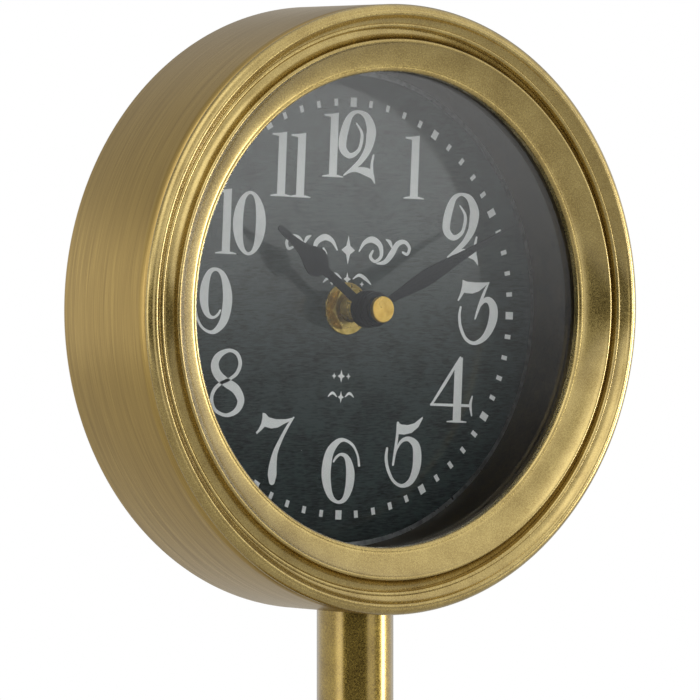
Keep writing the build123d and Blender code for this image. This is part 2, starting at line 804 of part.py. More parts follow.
with BuildPart() as hour_wheel:
    wheel(hour_wheel_depth, hour_teeth, hour_module, hour_phase)
    disc(hour_boss_front - 0.4, hour_wheel_depth + wheel_thickness, hour_radius)
    disc(hour_boss_front - 1, hour_wheel_depth + 2, minute_radius + running_gap, mode=Mode.SUBTRACT)
finish(hour_wheel.part, "hour_wheel")

# ---------------------------------------------------------------- hands
# Half outlines along the hand: distance from the axis, and half width.
hour_stem = 1.15
hour_tip_radius = 0.8
hour_bulb_radius = 3.7
hour_bulb_centre = 19.3


def hand_plane(depth, angle):
    """Plane of a hand: its Y direction runs along the hand."""
    return Plane(
        origin=(0, depth, head_height),
        x_dir=(cos(radians(angle)), 0, -sin(radians(angle))),
        z_dir=(0, -1, 0),
    )


with BuildPart() as hour_hand:
    with BuildSketch(hand_plane(hour_hand_back, hour_hand_angle)):
        with BuildLine():
            Line((0, 3.0), (hour_stem, 3.0))
            Line((hour_stem, 3.0), (hour_stem, 15.2))
            ThreePointArc((hour_stem, 15.2), (1.5, 15.75), (2.3, 16.3))
            ThreePointArc((2.3, 16.3), (hour_bulb_radius, hour_bulb_centre), (3.1, 21.2))
            ThreePointArc((3.1, 21.2), (1.75, 24.2), (1.05, 28.0))
            Line((1.05, 28.0), (hour_tip_radius, hour_hand_length - hour_tip_radius))
            ThreePointArc(
                (hour_tip_radius, hour_hand_length - hour_tip_radius),
                (hour_tip_radius * 0.7071, hour_hand_length - hour_tip_radius * 0.2929),
                (0, hour_hand_length),
            )
            Line((0, hour_hand_length), (0, 3.0))
        make_face()
        mirror(about=Plane.YZ)
        Circle(hour_boss_radius)
        Circle(hour_radius + seat_gap, mode=Mode.SUBTRACT)
    extrude(amount=hand_thickness)
finish(hour_hand.part, "hour_hand")

with BuildPart() as hour_collet:
    disc(hour_boss_front, hour_hand_back - hand_thickness, hour_boss_radius)
    fillet(hour_collet.faces().sort_by(Axis.Y)[0].edges(), 0.4)
    disc(hour_boss_front - 1, hour_hand_back, hour_radius + seat_gap, mode=Mode.SUBTRACT)
finish(hour_collet.part, "hour_collet")

with BuildPart() as minute_hand:
    with BuildSketch(hand_plane(minute_hand_back, minute_hand_angle)):
        with BuildLine():
            Line((0, 2.5), (1.0, 2.5))
            Line((1.0, 2.5), (1.05, 7.0))
            ThreePointArc((1.05, 7.0), (1.85, 14.2), (2.05, 19.5))
            ThreePointArc((2.05, 19.5), (1.15, 30.0), (0.5, 40.0))
            Line((0.5, 40.0), (0.22, minute_hand_length - 0.2))
            Line((0.22, minute_hand_length - 0.2), (0, minute_hand_length))
            Line((0, minute_hand_length), (0, 2.5))
        make_face()
        mirror(about=Plane.YZ)
        Circle(minute_disc_radius)
        Circle(minute_radius + seat_gap, mode=Mode.SUBTRACT)
    extrude(amount=hand_thickness)
finish(minute_hand.part, "minute_hand")

with BuildPart() as minute_collet:
    disc(minute_disc_front, minute_hand_back - hand_thickness, minute_disc_radius)
    fillet(minute_collet.faces().sort_by(Axis.Y)[0].edges(), 0.25)
    disc(minute_boss_front, minute_disc_front, minute_boss_radius)
    fillet(minute_collet.faces().sort_by(Axis.Y)[0].edges(), 0.3)
    disc(minute_boss_front - 1, minute_hand_back, minute_radius + seat_gap, mode=Mode.SUBTRACT)
finish(minute_collet.part, "minute_collet")

with BuildPart() as hand_cap:
    disc(cap_front, cap_back, cap_radius)
    fillet(hand_cap.faces().sort_by(Axis.Y)[0].edges(), 0.25)
    disc(cap_back - cap_hole, cap_back + 1, seconds_radius + seat_gap, mode=Mode.SUBTRACT)
finish(hand_cap.part, "hand_cap")

# ---------------------------------------------------------------- pole
pole_bottom = weight_top
top_plug_length = 20.0


def upright(bottom, top, radius, mode=Mode.ADD):
    """An upright round bar on the pole's axis, in the part being built."""
    with BuildSketch(Plane.XY.offset(bottom)) as outline:
        Circle(radius)
    extrude(outline.sketch, amount=top - bottom, mode=mode)


def cope(radius):
    """Cut the top of an upright piece to the drum's round underside."""
    with BuildSketch(face_plane(pole_radius + 20)) as drum:
        Circle(radius)
    extrude(drum.sketch, amount=2 * (pole_radius + 20), mode=Mode.SUBTRACT)


with BuildPart() as pole_tube:
    upright(pole_bottom, pole_top + 1, pole_radius)
    upright(pole_bottom - 1, pole_top + 2, pole_bore, Mode.SUBTRACT)
    cope(case_radius + seat_gap)
finish(pole_tube.part, "pole_tube")

with BuildPart() as pole_top_plug:
    upright(pole_top - top_plug_length, pole_top - 1.0, pole_bore - seat_gap)
    upright(pole_top - top_plug_length - 1, pole_top, head_screw_radius + seat_gap, Mode.SUBTRACT)
finish(pole_top_plug.part, "pole_top_plug")

# The screw that holds the head goes down through the drum's wall into the plug.
screw_seat = pole_top + case_wall + 0.4
with BuildPart() as head_screw_washer:
    upright(pole_top + 0.2, screw_seat + head_washer_thickness, head_washer_radius)
    with BuildSketch(face_plane(pole_radius + 20)):
        Circle(case_radius + 5)
        Circle(case_bore - seat_gap, mode=Mode.SUBTRACT)
    extrude(amount=2 * (pole_radius + 20), mode=Mode.SUBTRACT)
    upright(pole_top - 1, screw_seat + 5, head_screw_radius + loose_gap, Mode.SUBTRACT)
finish(head_screw_washer.part, "head_screw_washer")

with BuildPart() as head_screw:
    upright(pole_top - top_plug_length + 4, screw_seat + head_washer_thickness, head_screw_radius)
    upright(
        screw_seat + head_washer_thickness,
        screw_seat + head_washer_thickness + head_screw_head_height,
        head_screw_head_radius,
    )
    fillet(head_screw.faces().sort_by(Axis.Z)[-1].edges(), 1.0)
finish(head_screw.part, "head_screw")

with BuildPart() as pole_bottom_plug:
    upright(pole_bottom, pole_bottom + plug_length, pole_bore - seat_gap)
    upright(pole_bottom - 1, pole_bottom + plug_length + 1, bolt_radius + seat_gap, Mode.SUBTRACT)
finish(pole_bottom_plug.part, "pole_bottom_plug")

collar_radius = pole_radius + 3.5
with BuildPart() as pole_collar:
    with BuildSketch(Plane.XZ):
        with BuildLine():
            Polyline(
                (pole_radius + seat_gap, neck_top + collar_height),
                (pole_radius + seat_gap, neck_top),
                (collar_radius, neck_top),
                (collar_radius, neck_top + 1.6),
            )
            ThreePointArc(
                (collar_radius, neck_top + 1.6),
                (collar_radius - 1.6, neck_top + 3.6),
                (pole_radius + 1.0, neck_top + collar_height),
            )
            Line(
                (pole_radius + 1.0, neck_top + collar_height),
                (pole_radius + seat_gap, neck_top + collar_height),
            )
        make_face()
    revolve(axis=Axis.Z)
finish(pole_collar.part, "pole_collar")

# ---------------------------------------------------------------- base
step_radius = base_radius - 6.0
step_height = 11.0
dome_radius = base_radius - 16.0
dome_height = 16.0
neck_radius = pole_radius + 5.0
shell_bottom = felt_thickness

# The spun shell: a rolled foot, a flat step, a cove, a dome and a neck round the pole.
with BuildPart() as base_shell:
    with BuildSketch(Plane.XZ):
        with BuildLine():
            Line((0, shell_bottom), (base_radius, shell_bottom))
            Line((base_radius, shell_bottom), (base_radius, step_height - 4.5))
            ThreePointArc(
                (base_radius, step_height - 4.5),
                (base_radius - 1.0, step_height - 2.1),
                (base_radius - 3.5, step_height - 1.0),
            )
            Line((base_radius - 3.5, step_height - 1.0), (step_radius, step_height - 0.6))
            ThreePointArc(
                (step_radius, step_height - 0.6),
                (step_radius - 5.5, step_height + 1.3),
                (dome_radius + 2.0, dome_height - 0.5),
            )
            ThreePointArc(
                (dome_radius + 2.0, dome_height - 0.5),
                (dome_radius + 0.9, dome_height + 0.55),
                (dome_radius - 0.6, dome_height + 0.2),
            )
            ThreePointArc(
                (dome_radius - 0.6, dome_height + 0.2),
                (neck_radius + 10.0, dome_height + 5.6),
                (neck_radius, neck_top - 2.4),
            )
            ThreePointArc(
                (neck_radius, neck_top - 2.4),
                (neck_radius - 0.6, neck_top - 0.7),
                (neck_radius - 2.0, neck_top),
            )
            Line((neck_radius - 2.0, neck_top), (0, neck_top))
            Line((0, neck_top), (0, shell_bottom))
        make_face()
        offset(amount=-base_wall, mode=Mode.SUBTRACT)
        with Locations((0, shell_bottom)):
            Rectangle(
                base_radius - base_wall,
                2 * base_wall,
                align=(Align.MIN, Align.CENTER),
                mode=Mode.SUBTRACT,
            )
            Rectangle(
                pole_radius + seat_gap, neck_top, align=(Align.MIN, Align.MIN), mode=Mode.SUBTRACT
            )
    revolve(axis=Axis.Z)
finish(base_shell.part, "base_shell")

weight_clearance = 1.4
bolt_well_top = weight_bottom + bolt_head_height + 1.5
with BuildPart() as base_weight:
    upright(weight_bottom, weight_step, base_radius - base_wall - weight_clearance)
    upright(weight_step, weight_top, dome_radius - weight_clearance)
    upright(weight_bottom - 1, weight_top + 1, bolt_radius + loose_gap, Mode.SUBTRACT)
    upright(weight_bottom - 1, bolt_well_top, bolt_washer_radius + 1, Mode.SUBTRACT)
finish(base_weight.part, "base_weight")

with BuildPart() as base_bolt_washer:
    upright(bolt_well_top - bolt_washer_thickness, bolt_well_top, bolt_washer_radius)
    upright(bolt_well_top - 3, bolt_well_top + 1, bolt_radius + loose_gap, Mode.SUBTRACT)
finish(base_bolt_washer.part, "base_bolt_washer")

bolt_head_top = bolt_well_top - bolt_washer_thickness
with BuildPart() as base_bolt:
    with BuildSketch(Plane.XY.offset(bolt_head_top - bolt_head_height)):
        RegularPolygon(bolt_head_radius, 6)
    extrude(amount=bolt_head_height)
    upright(bolt_head_top, pole_bottom + plug_length - 4, bolt_radius)
finish(base_bolt.part, "base_bolt")

with BuildPart() as felt_pad:
    upright(0, felt_thickness, base_radius - 2.0)
finish(felt_pad.part, "felt_pad")
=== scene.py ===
"""A street clock on a round stand: its finished looks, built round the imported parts.

Sizes are in millimetres unless a name says otherwise. x runs to the right, y from the dial's
front to the back and z up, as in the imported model.
"""

import logging
import math
from collections.abc import Iterable, Sequence
from dataclasses import dataclass
from enum import Enum
from functools import cache, reduce

import bmesh
import bpy
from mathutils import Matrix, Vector


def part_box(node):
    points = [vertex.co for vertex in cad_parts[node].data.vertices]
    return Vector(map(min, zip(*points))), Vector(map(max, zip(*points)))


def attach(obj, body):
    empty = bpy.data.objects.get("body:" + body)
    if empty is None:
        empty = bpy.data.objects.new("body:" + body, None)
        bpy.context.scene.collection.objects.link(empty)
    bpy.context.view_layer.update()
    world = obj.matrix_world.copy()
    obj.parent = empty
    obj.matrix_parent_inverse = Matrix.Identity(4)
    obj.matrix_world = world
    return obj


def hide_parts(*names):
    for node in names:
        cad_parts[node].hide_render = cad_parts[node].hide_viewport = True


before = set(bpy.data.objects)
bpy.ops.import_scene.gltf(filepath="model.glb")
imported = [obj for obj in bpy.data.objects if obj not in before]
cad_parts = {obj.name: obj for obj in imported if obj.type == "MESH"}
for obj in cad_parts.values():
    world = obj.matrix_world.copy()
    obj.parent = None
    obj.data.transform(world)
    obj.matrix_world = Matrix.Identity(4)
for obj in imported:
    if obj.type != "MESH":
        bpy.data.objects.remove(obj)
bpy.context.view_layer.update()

log = logging.getLogger("street_clock")
MM = 0.001
Pair = tuple[float, float]
Triple = tuple[float, float, float]
Piece = bpy.types.Object
Material = bpy.types.Material
Socket = bpy.types.NodeSocket
Tree = bpy.types.NodeTree

ORIGIN = Vector((0, 0, 0))
CREASE = 28.0                # degrees: edges that turn by more stay crisp
ON_AXIS = 1e-6               # millimetres: a smaller radius is a point on the axis
SAME_PLACE = 1e-8            # metres: closer vertices are one


class Axis(Enum):
    """Which way a turned piece's axis runs."""

    DEPTH = "through the dial"
    UP = "up the pole"


# ------------------------------------------------------------------ places read from the frame
@cache
def corners(node: str) -> tuple[Vector, Vector]:
    """Lowest and highest corner of a CAD node, in millimetres."""
    lowest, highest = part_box(node)
    return lowest / MM, highest / MM


def low(node: str) -> Vector:
    """Lowest corner of a CAD node, in millimetres."""
    return corners(node)[0]


def high(node: str) -> Vector:
    """Highest corner of a CAD node, in millimetres."""
    return corners(node)[1]


def middle(node: str) -> Vector:
    """Centre of a CAD node's box, in millimetres."""
    return (low(node) + high(node)) / 2


def depths(node: str) -> Pair:
    """Depth of a CAD node's front and of its back, in millimetres."""
    return low(node).y, high(node).y


def heights(node: str) -> Pair:
    """Height of a CAD node's foot and of its top, in millimetres."""
    return low(node).z, high(node).z


HEAD = Vector((middle("case_shell").x, 0.0, middle("case_shell").z))
FOOT = Vector((middle("base_shell").x, middle("base_shell").y, 0.0))


# ------------------------------------------------------------------ mesh work
def section(*steps: Sequence[float], per_arc: int = 8) -> list[Pair]:
    """Sample the outline of a turned piece.

    Args:
        steps: Corners as (along, radius), or arcs as (via along, via radius, along, radius).
        per_arc: Straight pieces in each arc.

    Returns:
        The outline's points in order.
    """
    points: list[Pair] = []
    for step in steps:
        if len(step) == 2:
            points.append((step[0], step[1]))
            continue
        (ax, ay), (bx, by), (cx, cy) = points[-1], step[:2], step[2:]
        d = 2 * (ax * (by - cy) + bx * (cy - ay) + cx * (ay - by))
        a, b, c = ax * ax + ay * ay, bx * bx + by * by, cx * cx + cy * cy
        ux = (a * (by - cy) + b * (cy - ay) + c * (ay - by)) / d
        uy = (a * (cx - bx) + b * (ax - cx) + c * (bx - ax)) / d
        start = math.atan2(ay - uy, ax - ux)
        reach = math.hypot(ax - ux, ay - uy)
        sweep = (math.atan2(cy - uy, cx - ux) - start) % math.tau
        if (math.atan2(by - uy, bx - ux) - start) % math.tau > sweep:
            sweep -= math.tau
        for k in range(1, per_arc + 1):
            angle = start + sweep * k / per_arc
            points.append((ux + reach * math.cos(angle), uy + reach * math.sin(angle)))
    return points


def as_object(
    name: str, points: Iterable[Triple], faces: Iterable[Sequence[int]], sharp: float = CREASE
) -> Piece:
    """Make a smooth, closed mesh object that sits at the origin.

    Args:
        name: The piece's name.
        points: Its vertices in millimetres.
        faces: Its faces as vertex numbers.
        sharp: Edges that turn by more than this many degrees stay crisp.

    Returns:
        The new object, linked to the scene.
    """
    mesh = bpy.data.meshes.new(name)
    mesh.from_pydata([tuple(c * MM for c in p) for p in points], [], [tuple(f) for f in faces])
    tidy = bmesh.new()
    tidy.from_mesh(mesh)
    bmesh.ops.remove_doubles(tidy, verts=tidy.verts, dist=SAME_PLACE)
    bmesh.ops.recalc_face_normals(tidy, faces=tidy.faces)
    tidy.to_mesh(mesh)
    tidy.free()
    mesh.shade_smooth()
    mesh.set_sharp_from_angle(angle=math.radians(sharp))
    piece = bpy.data.objects.new(name, mesh)
    bpy.context.scene.collection.objects.link(piece)
    return piece


def around(axis: Axis, centre: Vector, along: float, radius: float, angle: float) -> Triple:
    """Find a point on a circle round an axis, in millimetres.

    Args:
        axis: Which way the axis runs.
        centre: A point on the axis, from which "along" is measured.
        along: Distance along the axis.
        radius: Distance from the axis.
        angle: Clockwise turn in radians, seen from the front or from above.

    Returns:
        The point.
    """
    s, c = radius * math.sin(angle), radius * math.cos(angle)
    if axis is Axis.DEPTH:
        return (centre.x + s, centre.y + along, centre.z + c)
    return (centre.x + s, centre.y + c, centre.z + along)


def turned(
    name: str, outline: Sequence[Pair], axis: Axis, centre: Vector, segments: int = 256
) -> Piece:
    """Turn a closed outline round an axis.

    Args:
        name: The piece's name.
        outline: Points as (along the axis, radius).
        axis: Which way the axis runs.
        centre: A point on the axis, from which "along" is measured.
        segments: Steps round the axis.

    Returns:
        The turned piece.
    """
    points: list[Triple] = []
    rings: list[list[int]] = []
    for along, radius in outline:
        count = 1 if radius < ON_AXIS else segments
        rings.append(list(range(len(points), len(points) + count)))
        points += [around(axis, centre, along, radius, math.tau * k / segments) for k in range(count)]
    faces: list[list[int]] = []
    for a, b in zip(rings, rings[1:] + rings[:1]):
        if len(a) == 1 and len(b) == 1:
            continue
        for k in range(segments):
            n = (k + 1) % segments
            face = (a[k % len(a)], a[n % len(a)], b[n % len(b)], b[k % len(b)])
            faces.append(list(dict.fromkeys(face)))
    return as_object(name, points, faces)


def spline(points: Sequence[Sequence[float]], closed: bool = False, per_span: int = 7) -> list[tuple]:
    """Draw a smooth Catmull-Rom run through points of any width.

    Args:
        points: The points, each a row of numbers.
        closed: Whether the run joins up with its start.
        per_span: Steps between two points.

    Returns:
        The finer run of points.
    """
    if len(points) < 3:
        return [tuple(p) for p in points]
    n = len(points)
    spans = n if closed else n - 1
    run = []
    for i in range(spans):
        p = [points[(i + k) % n] if closed else points[min(max(i + k, 0), n - 1)] for k in (-1, 0, 1, 2)]
        for k in range(per_span):
            t = k / per_span
            run.append(tuple(
                0.5 * (2 * b + (c - a) * t + (2 * a - 5 * b + 4 * c - d) * t * t
                       + (3 * b - a - 3 * c + d) * t ** 3)
                for a, b, c, d in zip(*p)
            ))
    return run if closed else run + [tuple(points[-1])]


class Relief:
    """Flat shapes raised from a plane that faces the front, gathered into one mesh."""

    STAGGER = 0.02               # share of the height by which neighbouring shapes differ
    STAGGERS = 12                # shapes until the heights start again
    CAP_ANGLES = (25, 50, 70, 86)    # degrees: steps of a stroke's round end
    STEEPEST = 0.6               # share of a half width that an edge's slope may take up

    def __init__(self, centre: Vector, back: float, height: float, turn: float = 0.0) -> None:
        """Start an empty relief.

        Args:
            centre: The point that the shapes' coordinates are measured from.
            back: Depth of the plane the shapes stand on.
            height: How far they stand out of it.
            turn: Clockwise turn of every shape round the centre, in degrees.
        """
        self.centre, self.back, self.height = centre, back, height
        self.turn = math.radians(turn)
        self.points: list[Triple] = []
        self.faces: list[list[int]] = []
        self.shapes = 0

    def place(self, x: float, z: float, depth: float) -> Triple:
        """A shape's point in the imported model's frame."""
        c, s = math.cos(self.turn), math.sin(self.turn)
        return (self.centre.x + x * c + z * s, depth, self.centre.z + z * c - x * s)

    def front(self) -> float:
        """Depth of the next shape's front; each shape is a hair higher, so that none coincide."""
        self.shapes += 1
        return self.back - self.height * (1 + self.STAGGER * (self.shapes % self.STAGGERS))

    def patch(self, outline: Sequence[Pair]) -> None:
        """Raise a closed flat shape.

        Args:
            outline: Its corners as (x, z).
        """
        front, base, n = self.front(), len(self.points), len(outline)
        for depth in (self.back, front):
            self.points += [self.place(x, z, depth) for x, z in outline]
        self.faces += [list(range(base, base + n)), list(range(base + n, base + 2 * n))]
        self.band(base, base + n, n)

    def band(self, first: int, second: int, count: int) -> None:
        """Close the gap between two rings of vertices.

        Args:
            first: The first ring's first vertex.
            second: The second ring's first vertex.
            count: Vertices in each ring.
        """
        for k in range(count):
            n = (k + 1) % count
            self.faces.append([first + k, first + n, second + n, second + k])

    def stroke(self, run: Sequence[Triple], closed: bool = False, edge: float = 0.0) -> None:
        """Raise a pen stroke of changing width with round ends.

        Args:
            run: Points as (x, z, half width).
            closed: Whether the stroke joins up with its start.
            edge: Width of the slope along the front's edges.
        """
        line = spline(run, closed)
        n = len(line)
        ways = []
        for k in range(n):
            a = line[(k - 1) % n if closed else max(k - 1, 0)]
            b = line[(k + 1) % n if closed else min(k + 1, n - 1)]
            length = math.hypot(b[0] - a[0], b[1] - a[1]) or 1.0
            ways.append(((b[0] - a[0]) / length, (b[1] - a[1]) / length))
        rows = [(x, z, w, *way) for (x, z, w), way in zip(line, ways)]
        if not closed:
            for end, sign in ((0, -1.0), (-1, 1.0)):
                x, z, w, dx, dz = rows[end]
                cap = []
                for angle in self.CAP_ANGLES:
                    out = sign * w * math.sin(math.radians(angle))
                    cap.append((x + dx * out, z + dz * out, w * math.cos(math.radians(angle)), dx, dz))
                rows = cap[::-1] + rows if end == 0 else rows + cap
        front, base = self.front(), len(self.points)
        for x, z, w, dx, dz in rows:
            slope = min(edge, w * self.STEEPEST)
            shoulder = [(slope - w, front), (w - slope, front)] if edge else []
            across = [(-w, self.back), (-w, front + slope), *shoulder, (w, front + slope), (w, self.back)]
            self.points += [self.place(x - dz * s, z + dx * s, depth) for s, depth in across]
        m, count = (6 if edge else 4), len(rows)
        for k in range(count if closed else count - 1):
            self.band(base + m * k, base + m * ((k + 1) % count), m)
        if not closed:
            self.faces += [[base + j for j in range(m)], [base + m * (count - 1) + j for j in range(m)]]

    def made(self, name: str) -> Piece:
        """The gathered shapes as one piece."""
        return as_object(name, self.points, self.faces)


# ------------------------------------------------------------------ what repeats round an axis
def link_up(tree: Tree, kind: str, settings: dict | None = None,
            inputs: dict | None = None) -> bpy.types.Node:
    """Add a node with its settings and links.

    Args:
        tree: The tree it goes into.
        kind: Blender's name for the node.
        settings: Properties to set on it.
        inputs: Sockets by name or number, each given a value or another node's output.

    Returns:
        The new node.
    """
    node = tree.nodes.new(kind)
    for key, value in (settings or {}).items():
        setattr(node, key, value)
    for key, value in (inputs or {}).items():
        if isinstance(value, Socket):
            tree.links.new(value, node.inputs[key])
        else:
            node.inputs[key].default_value = value
    return node


def arith(tree: Tree, kind: str, *values: object) -> Socket:
    """Add an arithmetic node for two or three values and return its result."""
    return link_up(tree, "ShaderNodeMath", {"operation": kind}, dict(enumerate(values))).outputs[0]


def vector(tree: Tree, kind: str, *values: object) -> bpy.types.Node:
    """Add a vector arithmetic node for one or two vectors."""
    return link_up(tree, "ShaderNodeVectorMath", {"operation": kind}, dict(enumerate(values)))


def setting_out_tree() -> Tree:
    """Geometry nodes that set copies of a piece round an axis through the dial.

    Returns:
        The node tree, with named inputs for its sizes.
    """
    tree = bpy.data.node_groups.new("set_out_round_axis", "GeometryNodeTree")
    for name, kind in (
        ("Geometry", "Geometry"), ("Count", "Int"), ("Radius", "Float"), ("Start", "Float"),
        ("Centre", "Vector"), ("Major step", "Int"), ("Major size", "Vector"),
        ("Spread", "Float"), ("Seed", "Int"), ("Finish", "Material"),
    ):
        tree.interface.new_socket(name=name, in_out="INPUT", socket_type="NodeSocket" + kind)
    tree.interface.new_socket(name="Geometry", in_out="OUTPUT", socket_type="NodeSocketGeometry")
    given = tree.nodes.new("NodeGroupInput").outputs
    index = link_up(tree, "GeometryNodeInputIndex").outputs[0]
    step = arith(tree, "DIVIDE", math.tau, given["Count"])
    angle = arith(tree, "MULTIPLY_ADD", index, step, given["Start"])
    out = [arith(tree, "MULTIPLY", arith(tree, side, angle), given["Radius"]) for side in ("SINE", "COSINE")]
    place = link_up(tree, "ShaderNodeCombineXYZ", inputs={"X": out[0], "Z": out[1]})
    points = link_up(tree, "GeometryNodePoints", inputs={
        "Count": given["Count"], "Position": place.outputs[0]})
    major = arith(tree, "LESS_THAN", arith(tree, "MODULO", index, given["Major step"]), 0.5)
    size = link_up(tree, "ShaderNodeMix", {"data_type": "VECTOR"},
                   {0: major, 4: (1.0, 1.0, 1.0), 5: given["Major size"]}).outputs[1]
    uneven = link_up(tree, "FunctionNodeRandomValue", {"data_type": "FLOAT"},
                     {2: -1.0, 3: 1.0, "ID": index, "Seed": given["Seed"]}).outputs[1]
    grown = arith(tree, "MULTIPLY_ADD", uneven, given["Spread"], 1.0)
    scale = link_up(tree, "ShaderNodeVectorMath", {"operation": "SCALE"}, {0: size, "Scale": grown})
    spin = link_up(tree, "ShaderNodeCombineXYZ", inputs={"Y": angle})
    copies = link_up(tree, "GeometryNodeInstanceOnPoints", inputs={
        "Points": points.outputs[0], "Instance": given["Geometry"],
        "Rotation": spin.outputs[0], "Scale": scale.outputs[0]})
    moved = link_up(tree, "GeometryNodeTransform", inputs={
        "Geometry": copies.outputs[0], "Translation": given["Centre"]})
    real = link_up(tree, "GeometryNodeRealizeInstances", inputs={"Geometry": moved.outputs[0]})
    clad = link_up(tree, "GeometryNodeSetMaterial", inputs={
        "Geometry": real.outputs[0], "Material": given["Finish"]})
    link_up(tree, "NodeGroupOutput", inputs={"Geometry": clad.outputs[0]})
    return tree


SETTING_OUT = setting_out_tree()


@dataclass(frozen=True)
class RoundSet:
    """Copies of one small piece, set out evenly round an axis through the dial."""

    count: int
    radius: float
    centre: Vector
    start: float = 0.0
    major_step: int = 0
    major_size: Triple = (1.0, 1.0, 1.0)
    spread: float = 0.0
    seed: int = 7

    def made(self, unit: Piece, finish: Material) -> Piece:
        """Repeat a piece and turn the result into a plain mesh.

        Args:
            unit: The piece, modelled at the origin and pointing up.
            finish: The material of every copy.

        Returns:
            The same object, now holding all the copies.
        """
        live = unit.modifiers.new("set out", "NODES")
        live.node_group = SETTING_OUT
        values = {
            "Count": self.count, "Radius": self.radius * MM, "Start": math.radians(self.start),
            "Centre": [c * MM for c in self.centre], "Major step": self.major_step,
            "Major size": self.major_size, "Spread": self.spread, "Seed": self.seed, "Finish": finish,
        }
        for item in SETTING_OUT.interface.items_tree:
            if item.in_out == "INPUT" and item.name in values:
                live[item.identifier] = values[item.name]
        graph = bpy.context.evaluated_depsgraph_get()
        graph.update()
        whole = bpy.data.meshes.new_from_object(unit.evaluated_get(graph), depsgraph=graph)
        unit.modifiers.remove(live)
        unit.data = whole
        return unit


# ------------------------------------------------------------------ finishes
def srgb(code: str) -> tuple[float, float, float, float]:
    """Linear colour of an sRGB hex code."""
    parts = [int(code[k:k + 2], 16) / 255 for k in (0, 2, 4)]
    return (*[p / 12.92 if p <= 0.04045 else ((p + 0.055) / 1.055) ** 2.4 for p in parts], 1.0)


